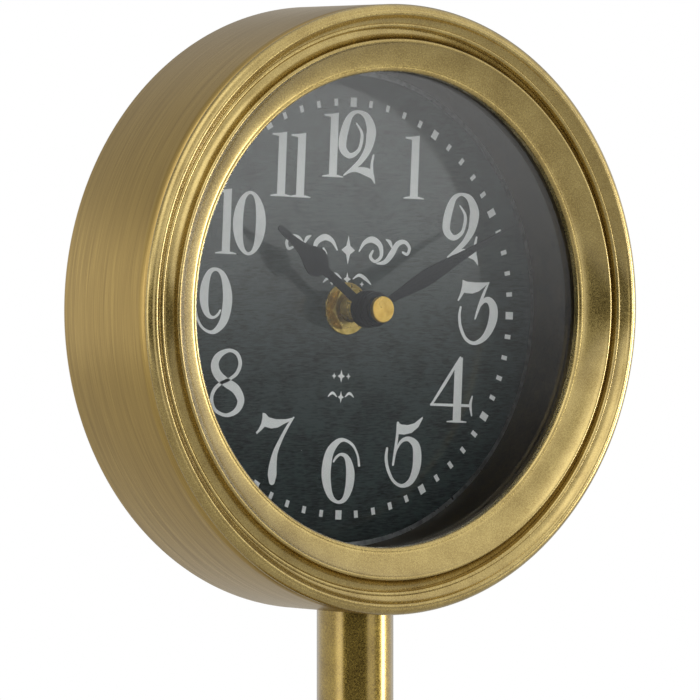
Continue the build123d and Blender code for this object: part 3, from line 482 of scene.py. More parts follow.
class Coat:
    """A material being made: its node tree, its shader and the patterns that feed them."""

    def __init__(self, name: str, **shader: float | tuple) -> None:
        """Start a material.

        Args:
            name: The material's name.
            shader: Values of the shader's own sockets, with _ for spaces.
        """
        self.material = bpy.data.materials.new(name)
        self.material.use_nodes = True
        self.tree = self.material.node_tree
        self.tree.nodes.clear()
        self.shader = link_up(self.tree, "ShaderNodeBsdfPrincipled",
                              inputs={k.replace("_", " "): v for k, v in shader.items()})
        link_up(self.tree, "ShaderNodeOutputMaterial", inputs={"Surface": self.shader.outputs[0]})
        self.place = link_up(self.tree, "ShaderNodeTexCoord").outputs["Object"]

    def about(self, centre: Vector, stretch: Triple = (1.0, 1.0, 1.0)) -> Socket:
        """Measure the object's coordinates from a centre.

        Args:
            centre: The centre, in millimetres.
            stretch: Factor along each axis.

        Returns:
            The coordinates, in metres.
        """
        spot = [-c * MM * s for c, s in zip(centre, stretch)]
        return link_up(self.tree, "ShaderNodeMapping", inputs={
            "Vector": self.place, "Location": spot, "Scale": stretch}).outputs[0]

    def grain(self, size: float, stretch: Triple = (1.0, 1.0, 1.0), detail: float = 2.0,
              where: Socket | None = None) -> Socket:
        """Uneven spots of a real size.

        Args:
            size: Spot width in millimetres.
            stretch: Relative fineness along each axis.
            detail: How many finer layers are laid over the spots.
            where: Coordinates in metres, if not the object's own.

        Returns:
            A value from 0 to 1.
        """
        if where is None:
            where = self.about(ORIGIN, stretch)
        return link_up(self.tree, "ShaderNodeTexNoise", inputs={
            "Vector": where, "Scale": 1 / (size * MM), "Detail": detail}).outputs[0]

    def tool_marks(self, axis: Axis, centre: Vector, line: float, run: float) -> Socket:
        """Fine marks that run round an axis, as turning and brushing leave them.

        Args:
            axis: The axis the piece was turned on.
            centre: A point on it.
            line: Width of a mark.
            run: How many marks follow each other in one radian round the axis.

        Returns:
            A value from 0 to 1.
        """
        upright = axis is Axis.UP
        flat = (1.0, 1.0, 0.0) if upright else (1.0, 0.0, 1.0)
        local = self.about(centre)
        plane = vector(self.tree, "MULTIPLY", local, flat).outputs[0]
        radius = vector(self.tree, "LENGTH", plane).outputs["Value"]
        way = vector(self.tree, "NORMALIZE", plane).outputs[0]
        slow = link_up(self.tree, "ShaderNodeVectorMath", {"operation": "SCALE"}, {0: way, "Scale": run})
        split = link_up(self.tree, "ShaderNodeSeparateXYZ", inputs={0: local}).outputs
        both = self.weighed("ADD", split["Z" if upright else "Y"], radius)
        fast = self.weighed("DIVIDE", both, line * MM)
        comb = link_up(self.tree, "ShaderNodeCombineXYZ", inputs={"Z" if upright else "Y": fast})
        total = vector(self.tree, "ADD", slow.outputs[0], comb.outputs[0])
        return link_up(self.tree, "ShaderNodeTexNoise", inputs={
            "Vector": total.outputs[0], "Scale": 1.0, "Detail": 3.0, "Roughness": 0.6}).outputs[0]

    def spread(self, value: Socket, low_in: float, high_in: float,
               low_out: float = 0.0, high_out: float = 1.0) -> Socket:
        """Stretch part of a pattern's range over another range, held at both ends.

        Args:
            value: The pattern.
            low_in: Where the part begins.
            high_in: Where it ends.
            low_out: The result up to where it begins.
            high_out: The result from where it ends.

        Returns:
            The stretched pattern.
        """
        return link_up(self.tree, "ShaderNodeMapRange", inputs={
            0: value, 1: low_in, 2: high_in, 3: low_out, 4: high_out}).outputs[0]

    def mixed(self, factor: Socket, first: object, second: object) -> Socket:
        """A colour between two, by a factor."""
        return link_up(self.tree, "ShaderNodeMix", {"data_type": "RGBA"},
                       {0: factor, 6: first, 7: second}).outputs[2]

    def weighed(self, kind: str, *values: object) -> Socket:
        """Patterns and numbers joined by a kind of arithmetic."""
        return arith(self.tree, kind, *values)

    def feed(self, **sockets: Socket) -> None:
        """Link patterns to the shader's sockets, with _ for spaces."""
        for name, source in sockets.items():
            self.tree.links.new(source, self.shader.inputs[name.replace("_", " ")])

    def raised(self, height: Socket, depth: float,
               over: Socket | None = None) -> Socket:
        """Raise a pattern as relief of a real depth.

        Args:
            height: The pattern.
            depth: How deep it is, in millimetres.
            over: Another relief that it is laid over.

        Returns:
            The relief, for a shader's normal.
        """
        extra = {"Normal": over} if over is not None else {}
        return link_up(self.tree, "ShaderNodeBump", inputs={
            "Height": height, "Distance": depth * MM, "Strength": 1.0, **extra}).outputs[0]


@dataclass(frozen=True)
class SprayedGold:
    """Gold metallic lacquer sprayed over steel: satin, with flakes that show as a fine sandy speckle."""

    name: str = "sprayed_gold_lacquer"
    dark: str = "8A743C"
    light: str = "B8A364"
    flake: float = 0.34          # flakes clump to about a third of a millimetre
    rough: float = 0.25

    def made(self) -> Material:
        """Mix the lacquer: fine speckle over a slow drift of shade, both slightly raised.

        Returns:
            The material.
        """
        coat = Coat(self.name, Metallic=1.0, Coat_Weight=0.8, Coat_Roughness=0.13)
        flakes = coat.grain(self.flake, detail=3.0)
        drift = coat.grain(9.0, detail=2.0)
        shade = coat.weighed("MULTIPLY_ADD", flakes, 0.8, coat.spread(drift, 0.3, 0.7, 0.0, 0.22))
        colour = coat.mixed(coat.spread(shade, 0.28, 0.78), srgb(self.dark), srgb(self.light))
        rough = coat.spread(flakes, 0.3, 0.7, self.rough - 0.04, self.rough + 0.05)
        coat.feed(Base_Color=colour, Roughness=rough,
                  Normal=coat.raised(drift, 0.03, coat.raised(flakes, 0.0022)))
        return coat.material


@dataclass(frozen=True)
class BrushedGold:
    """Steel strip brushed round the drum under gold lacquer: fine marks that stretch highlights."""

    name: str = "brushed_gold_lacquer"
    dark: str = "80683A"
    light: str = "C2A55E"
    mark: float = 0.15
    run: float = 3.2
    rough: float = 0.3

    def made(self, centre: Vector) -> Material:
        """Mix the lacquer over fine and broad brush marks.

        Args:
            centre: A point on the axis that the marks run round.

        Returns:
            The material.
        """
        coat = Coat(self.name, Metallic=1.0, Coat_Weight=0.25, Coat_Roughness=0.28)
        fine = coat.tool_marks(Axis.DEPTH, centre, self.mark, self.run)
        broad = coat.tool_marks(Axis.DEPTH, centre, 1.1, 2.2)
        flakes = coat.grain(0.3, detail=2.0)
        both = coat.weighed("MULTIPLY_ADD", fine, 0.62, coat.weighed("MULTIPLY", broad, 0.38))
        colour = coat.mixed(coat.spread(both, 0.24, 0.76), srgb(self.dark), srgb(self.light))
        coat.feed(Base_Color=colour,
                  Roughness=coat.spread(both, 0.3, 0.7, self.rough + 0.1, self.rough - 0.05),
                  Normal=coat.raised(flakes, 0.006, coat.raised(both, 0.012)))
        return coat.material


@dataclass(frozen=True)
class TurnedMetal:
    """Bare metal turned on a lathe: bright, with very fine rings."""

    name: str
    dark: str
    light: str
    rough: float
    axis: Axis = Axis.DEPTH
    ring: float = 0.14

    def made(self, centre: Vector) -> Material:
        """Mix the metal, with rings and a faint stain.

        Args:
            centre: A point on the axis that the rings run round.

        Returns:
            The material.
        """
        coat = Coat(self.name, Metallic=1.0)
        rings = coat.tool_marks(self.axis, centre, self.ring, 2.0)
        stain = coat.grain(1.8, detail=3.0)
        colour = coat.mixed(coat.spread(stain, 0.35, 0.7), srgb(self.light), srgb(self.dark))
        rough = coat.spread(stain, 0.3, 0.7, self.rough - 0.04, self.rough + 0.1)
        coat.feed(Base_Color=colour, Roughness=rough, Normal=coat.raised(rings, 0.003))
        return coat.material


@dataclass(frozen=True)
class Mottled:
    """A plain sprayed, moulded or cast surface: two near colours, a skin texture and uneven gloss."""

    name: str
    dark: str
    light: str
    rough: float
    grit: float
    depth: float
    metallic: float = 0.0
    patch: float = 6.0
    stretch: Triple = (1.0, 1.0, 1.0)
    sheen: float = 0.0
    coat: float = 0.0
    gloss: float = 0.5

    def made(self) -> Material:
        """Mix the surface: a raised skin and larger cloudy patches.

        Returns:
            The material.
        """
        coat = Coat(self.name, Metallic=self.metallic, Sheen_Weight=self.sheen, Coat_Weight=self.coat,
                    Specular_IOR_Level=self.gloss)
        skin = coat.grain(self.grit, self.stretch, 3.0)
        cloud = coat.grain(self.patch, detail=2.0)
        both = coat.weighed("ADD", coat.weighed("MULTIPLY", skin, 0.5), coat.weighed("MULTIPLY", cloud, 0.5))
        coat.feed(Base_Color=coat.mixed(coat.spread(both, 0.35, 0.65), srgb(self.dark), srgb(self.light)),
                  Roughness=coat.spread(both, 0.35, 0.65, self.rough - 0.06, self.rough + 0.06),
                  Normal=coat.raised(skin, self.depth))
        return coat.material


@dataclass(frozen=True)
class DialCard:
    """Slate-coloured ink on laid paper under thin varnish: level fibres, faint cloud, a dark sheen."""

    name: str = "slate_printed_card"
    dark: str = "141A1C"
    light: str = "3A4546"
    fibre: float = 0.28          # fibres are finer; they are drawn this wide so that they show
    run: float = 7.0
    varnish: float = 0.95

    def made(self) -> Material:
        """Mix the card: two widths of fibre across the dial, and a cloudiness.

        Returns:
            The material.
        """
        coat = Coat(self.name, Specular_IOR_Level=0.3, Coat_Weight=self.varnish, Coat_Roughness=0.1)
        fibres = coat.grain(self.fibre, (1 / self.run, 1.0, 1.0), 3.0)
        second = coat.grain(self.fibre * 2.4, (1 / 3.0, 1.0, 1.0), 2.0)
        cloud = coat.grain(7.0, detail=3.0)
        woven = coat.weighed("MULTIPLY_ADD", fibres, 0.55, coat.weighed("MULTIPLY", second, 0.25))
        total = coat.weighed("ADD", woven, coat.weighed("MULTIPLY", cloud, 0.35))
        coat.feed(Base_Color=coat.mixed(coat.spread(total, 0.42, 0.64), srgb(self.dark), srgb(self.light)),
                  Roughness=coat.spread(total, 0.3, 0.7, 0.72, 0.6), Normal=coat.raised(woven, 0.04),
                  Coat_Normal=coat.raised(woven, 0.006))
        return coat.material


@dataclass(frozen=True)
class FloatGlass:
    """Clear flat glass: smooth, with the very slight waviness of sheet glass."""

    name: str = "clear_float_glass"
    gloss: float = 0.12          # bloomed to a quarter of bare glass's reflection

    def made(self) -> Material:
        """Make the glass, with waves a few centimetres across.

        Returns:
            The material.
        """
        coat = Coat(self.name, Base_Color=srgb("FBFDFC"), Transmission_Weight=1.0, IOR=1.5, Roughness=0.0,
                    Specular_IOR_Level=self.gloss)
        coat.feed(Normal=coat.raised(coat.grain(32.0, detail=1.0), 0.02))
        return coat.material


@dataclass(frozen=True)
class CircuitBoard:
    """Glass-fibre board under green solder mask, with tracks that show through as paler lines."""

    name: str = "green_circuit_board"
    four_rows: float = 9.6       # the brick pattern's unit of length holds four rows

    def made(self, centre: Vector) -> Material:
        """Mix the board, with tracks across it.

        Args:
            centre: The middle of the board.

        Returns:
            The material.
        """
        coat = Coat(self.name, Coat_Weight=0.4, Coat_Roughness=0.2)
        bricks = link_up(coat.tree, "ShaderNodeTexBrick", inputs={
            "Vector": coat.about(centre), "Scale": 1 / (self.four_rows * MM), "Mortar Size": 0.03})
        tracks = bricks.outputs["Fac"]
        weave = coat.grain(0.4, detail=2.0)
        coat.feed(Base_Color=coat.mixed(tracks, srgb("1C5A36"), srgb("4C8A52")),
                  Roughness=coat.spread(weave, 0.3, 0.7, 0.3, 0.45), Normal=coat.raised(tracks, 0.03))
        return coat.material


@dataclass(frozen=True)
class BatterySleeve:
    """Printed shrink sleeve: charcoal, with a copper band at the positive end."""

    name: str = "printed_shrink_sleeve"
    band_from: float = 12.0      # to the right of the cell's middle
    band_edge: float = 0.15

    def made(self, centre: Vector) -> Material:
        """Mix the sleeve's two inks and the puckers that shrinking leaves.

        Args:
            centre: The middle of the cell.

        Returns:
            The material.
        """
        coat = Coat(self.name, Coat_Weight=0.5, Coat_Roughness=0.12)
        along = link_up(coat.tree, "ShaderNodeSeparateXYZ", inputs={0: coat.about(centre)}).outputs["X"]
        band = coat.spread(along, self.band_from * MM, (self.band_from + self.band_edge) * MM)
        pull = coat.grain(3.0, (0.3, 1.0, 1.0), 2.0)
        coat.feed(Base_Color=coat.mixed(band, srgb("24282C"), srgb("A8683A")),
                  Roughness=coat.spread(pull, 0.3, 0.7, 0.3, 0.42), Normal=coat.raised(pull, 0.03))
        return coat.material


def dress(piece: Piece, material: Material) -> Piece:
    """Give a piece one material.

    Args:
        piece: The piece.
        material: The material that takes the place of any it has.

    Returns:
        The same piece.
    """
    piece.data.materials.clear()
    piece.data.materials.append(material)
    return piece


def seat(piece: Piece, body: str, nodes: Sequence[str]) -> None:
    """Let a piece ride on its body in place of CAD nodes.

    Args:
        piece: The finished piece.
        body: The CAD body it moves with.
        nodes: The CAD nodes it stands for.
    """
    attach(piece, body)
    if nodes:
        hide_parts(*nodes)
    log.info("%s rides on %s: %d faces", piece.name, body, len(piece.data.polygons))


# ------------------------------------------------------------------ the head
@dataclass
class Head:
    """The drum, its bezel, the glass and the dark wall behind the glass."""

    radius: float = 75.0
    wall: float = 1.2
    roll: float = 2.2
    lip: float = 1.0
    back_return: float = 2.0
    lip_bore: float = 58.5
    bezel_back: float = 9.5      # from the bezel's widest circle to the end of its skirt
    glass_radius: float = 60.4
    spacer_bore: float = 59.2
    segments: int = 360

    def drum(self) -> Piece:
        """Turn the drum with its rolled front edge and turned-in back rim.

        Returns:
            The drum.
        """
        front, back = depths("case_shell")
        bore = self.radius - self.wall
        outline = section(
            (front, bore), (back - self.wall, bore), (back - self.wall, bore - self.back_return),
            (back - 0.25, bore - self.back_return),
            (back - 0.07, bore - self.back_return + 0.07, back, bore - self.back_return + 0.25),
            (back, bore),
            (back - 0.35, self.radius - 0.35, back - self.wall, self.radius),
            (front + self.roll, self.radius),
            (front + 0.45 * self.roll, self.radius - 0.28 * self.lip, front, self.radius - self.lip),
        )
        return turned("drum", outline, Axis.DEPTH, HEAD, self.segments)

    def bezel(self) -> Piece:
        """Turn the spun bezel: lip, dished face, ridge, cove, bead, second face and outer roll.

        Returns:
            The bezel.
        """
        widest = high("bezel_ring").y - self.bezel_back
        bore = self.radius - self.wall - 0.2
        skirt = self.glass_radius + 0.2
        outline = section(
            (4.5, self.lip_bore), (3.3, self.lip_bore), (2.62, 58.86, 2.45, 59.7),
            (1.2, 62.9, -0.45, 65.5), (-0.75, 66.0, -0.4, 66.5), (1.35, 67.5, 2.0, 69.1),
            (1.1, 69.25, 0.75, 69.75), (0.75, 70.1, 1.0, 70.4), (0.35, 71.5, -0.6, 72.3),
            (-0.85, 72.8, -0.65, 73.3), (-0.1, 74.6, 0.6, 75.0), (1.1, 74.8, 1.3, 74.2),
            (1.5, bore), (6.0, bore), (6.0, bore - 1.5), (3.4, bore - 1.5), (3.4, skirt + 1.5),
            (self.bezel_back, skirt + 1.5), (self.bezel_back, skirt), (4.5, skirt), per_arc=10,
        )
        return turned("bezel", [(widest + d, r) for d, r in outline], Axis.DEPTH, HEAD, self.segments)

    def glass(self) -> Piece:
        """Turn the flat glass with its ground edge.

        Returns:
            The glass.
        """
        front, back = depths("glass_lens")
        r, ease = self.glass_radius, 0.3
        return turned("glass", section(
            (front, 0), (front, r - ease), (front + ease, r), (back - ease, r), (back, r - ease), (back, 0)),
            Axis.DEPTH, HEAD)

    def inner_wall(self) -> Piece:
        """Turn the dark wall from the glass to the dial, with a turned edge at its front.

        Returns:
            The wall.
        """
        front, back = depths("spacer_ring")
        r, bore = self.glass_radius, self.spacer_bore
        return turned("inner_wall", section(
            (front, r), (front, bore + 0.4), (front + 0.12, bore + 0.12, front + 0.4, bore),
            (back, bore), (back, r)), Axis.DEPTH, HEAD)

    def build(self) -> None:
        """Make and dress the head's pieces."""
        # Brushed steel under gold lacquer: the drum's highlights run across it as soft streaks.
        brushed = BrushedGold().made(HEAD)
        seat(dress(self.drum(), brushed), "case", ["case_shell"])
        # Sprayed metallic lacquer: a satin gold whose flakes read as fine sand in the highlights.
        seat(dress(self.bezel(), SprayedGold().made()), "case", ["bezel_ring"])
        # Float glass: clear, so that only its faint waves and its ground edge catch the light.
        seat(dress(self.glass(), FloatGlass().made()), "case", ["glass_lens"])
        # Rolled black card: soft and cloudy, slightly browned.
        wall = Mottled("black_wall_card", "1D1811", "3D3426", 0.55, 0.9, 0.006, patch=7.0, gloss=0.2).made()
        seat(dress(self.inner_wall(), wall), "case", ["spacer_ring"])


# ------------------------------------------------------------------ the dial
def old_style_one(x: float, foot: float, top: float) -> list[Pair]:
    """Outline a figure 1.

    Args:
        x: The left side of its stem.
        foot: Height of its foot.
        top: Height of its top.

    Returns:
        The outline's corners.
    """
    return [(x, foot + 0.3), (x, top - 1.0), (x - 2.0, top - 0.75), (x - 2.05, top - 0.35),
            (x, top - 0.2), (x + 2.4, top + 0.15), (x + 2.4, foot + 0.3)]


def foot_serif(x: float, foot: float) -> list[Triple]:
    """Level stroke under a figure 1 whose stem's left side is at x."""
    return [(x - 1.9, foot + 0.1, 0.12), (x, foot + 0.28, 0.3), (x + 2.4, foot + 0.28, 0.3),
            (x + 4.3, foot + 0.1, 0.12)]


TWO: tuple[tuple[Triple, ...], ...] = (
    ((34.3, 27.0, .2), (35.9, 25, .4), (36.1, 23, .5), (35.2, 20.3, .5), (32.7, 18.9, .7),
     (30.5, 20.4, 1.1), (30.3, 23, 1.2), (31.2, 26.5, 1.1), (32.6, 29, .7), (34.8, 29.9, .4),
     (37.3, 28.9, .9), (38.8, 26.3, 1.35), (38.9, 24, 1.45), (38.2, 21, 1.1), (36.4, 18.2, .8),
     (34.2, 16.2, .6), (31, 14, .2)),
    ((31, 14.1, .15), (33.5, 15.2, .35), (35.5, 15.5, .7), (38, 15.1, 1.05), (39.3, 14.5, .9),
     (40, 13.6, .5), (40.6, 12.4, .12)),
    ((39.9, 19.3, .3), (39.5, 17.2, .4), (39.6, 15, .5)),
)
THREE: tuple[tuple[Triple, ...], ...] = (
    ((44.3, 8.1, .2), (43.0, 5.6, .4), (41.6, 2.2, .45), (40.4, -1.1, .25)),
    ((40.4, -1.1, .25), (41.3, 1.5, .35), (42.9, 3.4, .55), (44.6, 3.6, .9), (46.0, 1.9, 1.25),
     (46.1, -0.8, 1.35), (45.0, -3.8, 1.1), (43.0, -6.2, .75), (40.2, -7.3, .45), (37.6, -6.2, .45),
     (35.9, -3.4, .45), (35.4, -0.5, .4), (35.7, 1.6, .3)),
)
THREE_FLAG: tuple[Pair, ...] = (
    (36.0, 8.5), (37.5, 8.1), (40, 8.0), (42.5, 8.05), (44.5, 8.25), (43.0, 7.0), (41.3, 5.8),
    (39.3, 5.15), (37.2, 5.2), (36.6, 5.3), (36.0, 4.4), (35.0, 3.1), (34.6, 3.3), (35.4, 5.0), (35.9, 6.8))
FOUR: tuple[tuple[Triple, ...], ...] = (
    ((36.2, -11.0, .25), (32.2, -16.8, .45), (27.7, -23.0, .3)),
    ((27.5, -23.05, .3), (33.5, -23.05, .35), (40.0, -23.05, .35)),
    ((40.4, -20.7, .2), (39.9, -22.8, .4), (40.4, -25.5, .2)),
    ((32.7, -27.2, .15), (35.7, -27.1, .3), (38.7, -27.2, .15)),
)
FOUR_STEM: tuple[Pair, ...] = (
    (34.5, -26.9), (34.5, -13.6), (36.1, -11.0), (37.0, -11.0), (37.0, -26.9))
FIVE: tuple[tuple[Triple, ...], ...] = (
    ((17.4, -28, .4), (17.3, -31, .4), (16.8, -35, .4), (16.3, -38.4, .3)),
    ((16.6, -36.8, .25), (17.2, -34.6, .3), (18.8, -32.4, .45), (21, -31.9, .65), (23.2, -33.4, 1.1),
     (23.8, -36.5, 1.3), (23.4, -39.8, 1.15), (21.8, -42.6, .8), (19.2, -43.6, .45), (16.6, -42.4, .4),
     (14.8, -39.6, .45), (14.1, -36.8, .45), (14.3, -34.4, .35)),
)
FIVE_FLAG: tuple[Pair, ...] = (
    (17.0, -27.7), (18.5, -28.3), (20.5, -28.4), (22.5, -27.9), (25.0, -26.2), (25.1, -26.6),
    (23.8, -28.8), (21.8, -30.3), (19.5, -30.8), (17.6, -30.7))
SIX: tuple[Triple, ...] = (
    (5.8, -38.8, .35), (5.2, -36.2, .3), (3.6, -33.8, .35), (1.0, -32.6, .4), (-1.2, -33.2, .75),
    (-3.4, -35.8, 1.2), (-4.25, -40, 1.4), (-3.9, -43.5, 1.25), (-2.6, -46.6, .8), (-.5, -48, .4),
    (1.6, -47.3, .7), (2.9, -44.5, 1.15), (3.2, -41, 1.3), (2.6, -38.2, 1), (1.5, -36.6, .6),
    (0, -36.2, .35), (-1.3, -36.9, .35), (-2.1, -38, .25))
SEVEN: tuple[Triple, ...] = (
    (-14.8, -27.4, .2), (-16.5, -29.6, .4), (-18.4, -32.8, .5), (-20, -36.2, .75), (-20.6, -39.5, 1.15),
    (-20.7, -41.6, 1.3), (-20.7, -43.3, .9))
SEVEN_FLAG: tuple[Pair, ...] = (
    (-24.3, -26.5), (-23.5, -26.6), (-22.3, -27.6), (-20, -28.0), (-17, -27.9), (-14.6, -27.3),
    (-15.5, -28.2), (-17.5, -29.0), (-19.5, -30.0), (-21.5, -30.3), (-23.5, -29.9), (-24.5, -30.8),
    (-25.8, -31.8), (-26.1, -31.4), (-25.3, -30.5), (-24.6, -29.2), (-24.3, -27.8))
EIGHT: tuple[Triple, ...] = (
    (-35.1, -11.5, .45), (-38, -12.8, .85), (-39.2, -15, 1.15), (-38.3, -17.4, 1.2), (-35.6, -19.4, 1.15),
    (-32.7, -20.9, 1.2), (-31, -23.6, 1.05), (-32.2, -26.2, .75), (-35.3, -27.4, .45), (-38.6, -26.2, .45),
    (-39.8, -23.6, .5), (-39.1, -21.3, .5), (-37.3, -19.7, .45), (-34.6, -18.5, .4), (-32.5, -17.0, .5),
    (-31.6, -14.6, .55), (-32.6, -12.3, .5))

# Places of the figures 1 in 1, 10, 11 and 12, as (stem's left side, foot, top).
ONES: tuple[Triple, ...] = (
    (18.5, 28.1, 43.8), (-6.8, 32.4, 48.2), (-22.4, 26.9, 42.7), (-16.6, 26.9, 42.7), (-38.4, 12.1, 28.0))
TWELVE_TWO: Pair = (-33.2, 19.0)     # from the 2 at two o'clock to the 2 of the 12
# Strokes of the ornament's right half; the left half mirrors them.
SCROLLS: tuple[tuple[Triple, ...], ...] = (
    ((3.4, 14.4, .2), (5.0, 16.6, .55), (7.4, 17.4, .8), (9.8, 16.0, .7), (10.2, 13.4, .5),
     (8.4, 12.0, .4), (6.9, 13.1, .45), (7.6, 14.6, .3)),
    ((9.0, 11.5, .2), (11.5, 12.0, .6), (13.4, 14.0, .85), (15.2, 16.6, .7), (17.4, 17.2, .5),
     (18.9, 15.8, .45), (18.3, 14.2, .4), (16.9, 14.6, .3)),
    ((11.6, 17.6, .15), (12.8, 16.9, .5), (13.6, 15.4, .15)),
    ((1.8, 7.4, .12), (3.6, 8.4, .4), (5.6, 7.6, .45), (7.3, 6.3, .15)),
)
LOW_STROKE: tuple[Triple, ...] = ((1.3, -21.9, .12), (2.6, -21.0, .35), (3.9, -21.9, .12))
# Lozenges on the centre line or near it, as (x, z, half width, half height).
LOZENGES: tuple[tuple[float, float, float, float], ...] = (
    (0, 14.5, 2.1, 3.6), (0, 7.3, 1.1, 1.7), (-0.7, -16.8, 1.1, 1.6), (-2.9, -16.8, 0.7, 0.8),
    (1.5, -16.8, 0.7, 0.8), (-0.6, -22.0, 0.9, 1.5))


@dataclass
class Dial:
    """The printed card: its figures, minute track and ornament."""

    radius: float = 58.0
    hole: float = 3.6
    print_turn: float = 2.64
    ink: float = 0.02
    track_radius: float = 51.2
    tick: Pair = (1.1, 1.75)
    major_tick: Triple = (1.68, 1.0, 1.31)
    hollow: float = 0.42         # a lozenge's half width at 45 degrees, as a share

    def card(self) -> Piece:
        """Turn the card, with its cut edge eased.

        Returns:
            The card.
        """
        front, back = depths("dial_card")
        r = self.radius
        return turned("dial_card_face", section(
            (front, self.hole), (front, r - 0.12), (front + 0.04, r - 0.03, front + 0.12, r),
            (back, r), (back, self.hole)), Axis.DEPTH, HEAD)

    def figures(self) -> Piece:
        """Draw the twelve figures as raised ink.

        Returns:
            The figures.
        """
        relief = Relief(HEAD, low("dial_card").y, self.ink, self.print_turn)
        for x, foot, top in ONES:
            relief.patch(old_style_one(x, foot, top))
            relief.stroke(foot_serif(x, foot))
        for shift in ((0.0, 0.0), TWELVE_TWO):
            for run in TWO:
                relief.stroke([(x + shift[0], z + shift[1], w) for x, z, w in run])
        for run in (*THREE, *FOUR, *FIVE, SIX, SEVEN):
            relief.stroke(run)
        # The 9 is the 6 turned upside down and a little narrower.
        relief.stroke([(-40.3 - (x - 0.15) * 0.95, 0.5 - (z + 40.3), w) for x, z, w in SIX])
        for flag in (THREE_FLAG, FOUR_STEM, FIVE_FLAG, SEVEN_FLAG):
            relief.patch(flag)
        relief.stroke(EIGHT, closed=True)
        relief.stroke(self.nought(-30.4, 19.9, 3.45, 7.52), closed=True)
        return relief.made("dial_figures")

    def nought(self, x: float, z: float, wide: float, tall: float, steps: int = 16) -> list[Triple]:
        """Draw a nought that is thick at its sides and thin at its top and foot.

        Args:
            x: Its centre, across.
            z: Its centre, up.
            wide: Half its width.
            tall: Half its height.
            steps: Points round it.

        Returns:
            The stroke's points.
        """
        run = []
        for k in range(steps):
            across, up = math.sin(math.tau * k / steps), math.cos(math.tau * k / steps)
            run.append((x + wide * across, z + tall * up, 0.38 + 1.12 * across ** 2))
        return run

    def lozenge(self, relief: Relief, x: float, z: float, wide: float, tall: float) -> None:
        """Add a diamond with hollow sides.

        Args:
            relief: The relief it is added to.
            x: Its centre, across.
            z: Its centre, up.
            wide: Half its width.
            tall: Half its height.
        """
        outline = []
        for k in range(4):
            a, b = math.radians(90 * k), math.radians(90 * k + 45)
            outline.append((x + wide * math.sin(a), z + tall * math.cos(a)))
            outline.append((x + wide * self.hollow * math.sin(b), z + tall * self.hollow * math.cos(b)))
        relief.patch(outline)

    def ornament(self) -> Piece:
        """Draw scrolls and lozenges above and below the centre.

        Returns:
            The ornament.
        """
        relief = Relief(HEAD, low("dial_card").y, self.ink, self.print_turn)
        for side in (-1, 1):
            for run in SCROLLS:
                relief.stroke([(side * x, z, w) for x, z, w in run])
            self.lozenge(relief, side * 4.6, 6.2, 0.7, 0.7)
            relief.stroke([(side * x - .6, z, w) for x, z, w in LOW_STROKE])
        for place in LOZENGES:
            self.lozenge(relief, *place)
        return relief.made("dial_ornament")

    def minute_track(self, ink: Material) -> Piece:
        """Set out sixty ticks, every fifth one larger.

        Args:
            ink: The ticks' material.

        Returns:
            The track.
        """
        wide, tall = (side / 2 for side in self.tick)
        small = Relief(ORIGIN, 0.0, self.ink)
        small.patch([(-wide, -tall), (wide, -tall), (wide, tall), (-wide, tall)])
        centre = Vector((HEAD.x, low("dial_card").y, HEAD.z))
        track = RoundSet(60, self.track_radius, centre, self.print_turn, 5, self.major_tick, 0.04)
        return track.made(small.made("minute_track"), ink)

    def build(self) -> None:
        """Make and dress the dial."""
        # Printed card: level fibres and cloud keep its dark face from looking flat.
        seat(dress(self.card(), DialCard().made()), "case", ["dial_card"])
        # Opaque white screen ink: matt, a little uneven where the paper's fibres take it.
        ink = Mottled("white_screen_ink", "EEF0F1", "FAFAFB", 0.62, 0.25, 0.006, patch=2.5).made()
        seat(dress(self.figures(), ink), "case", [])
        seat(dress(self.ornament(), ink), "case", [])
        seat(self.minute_track(ink), "case", [])


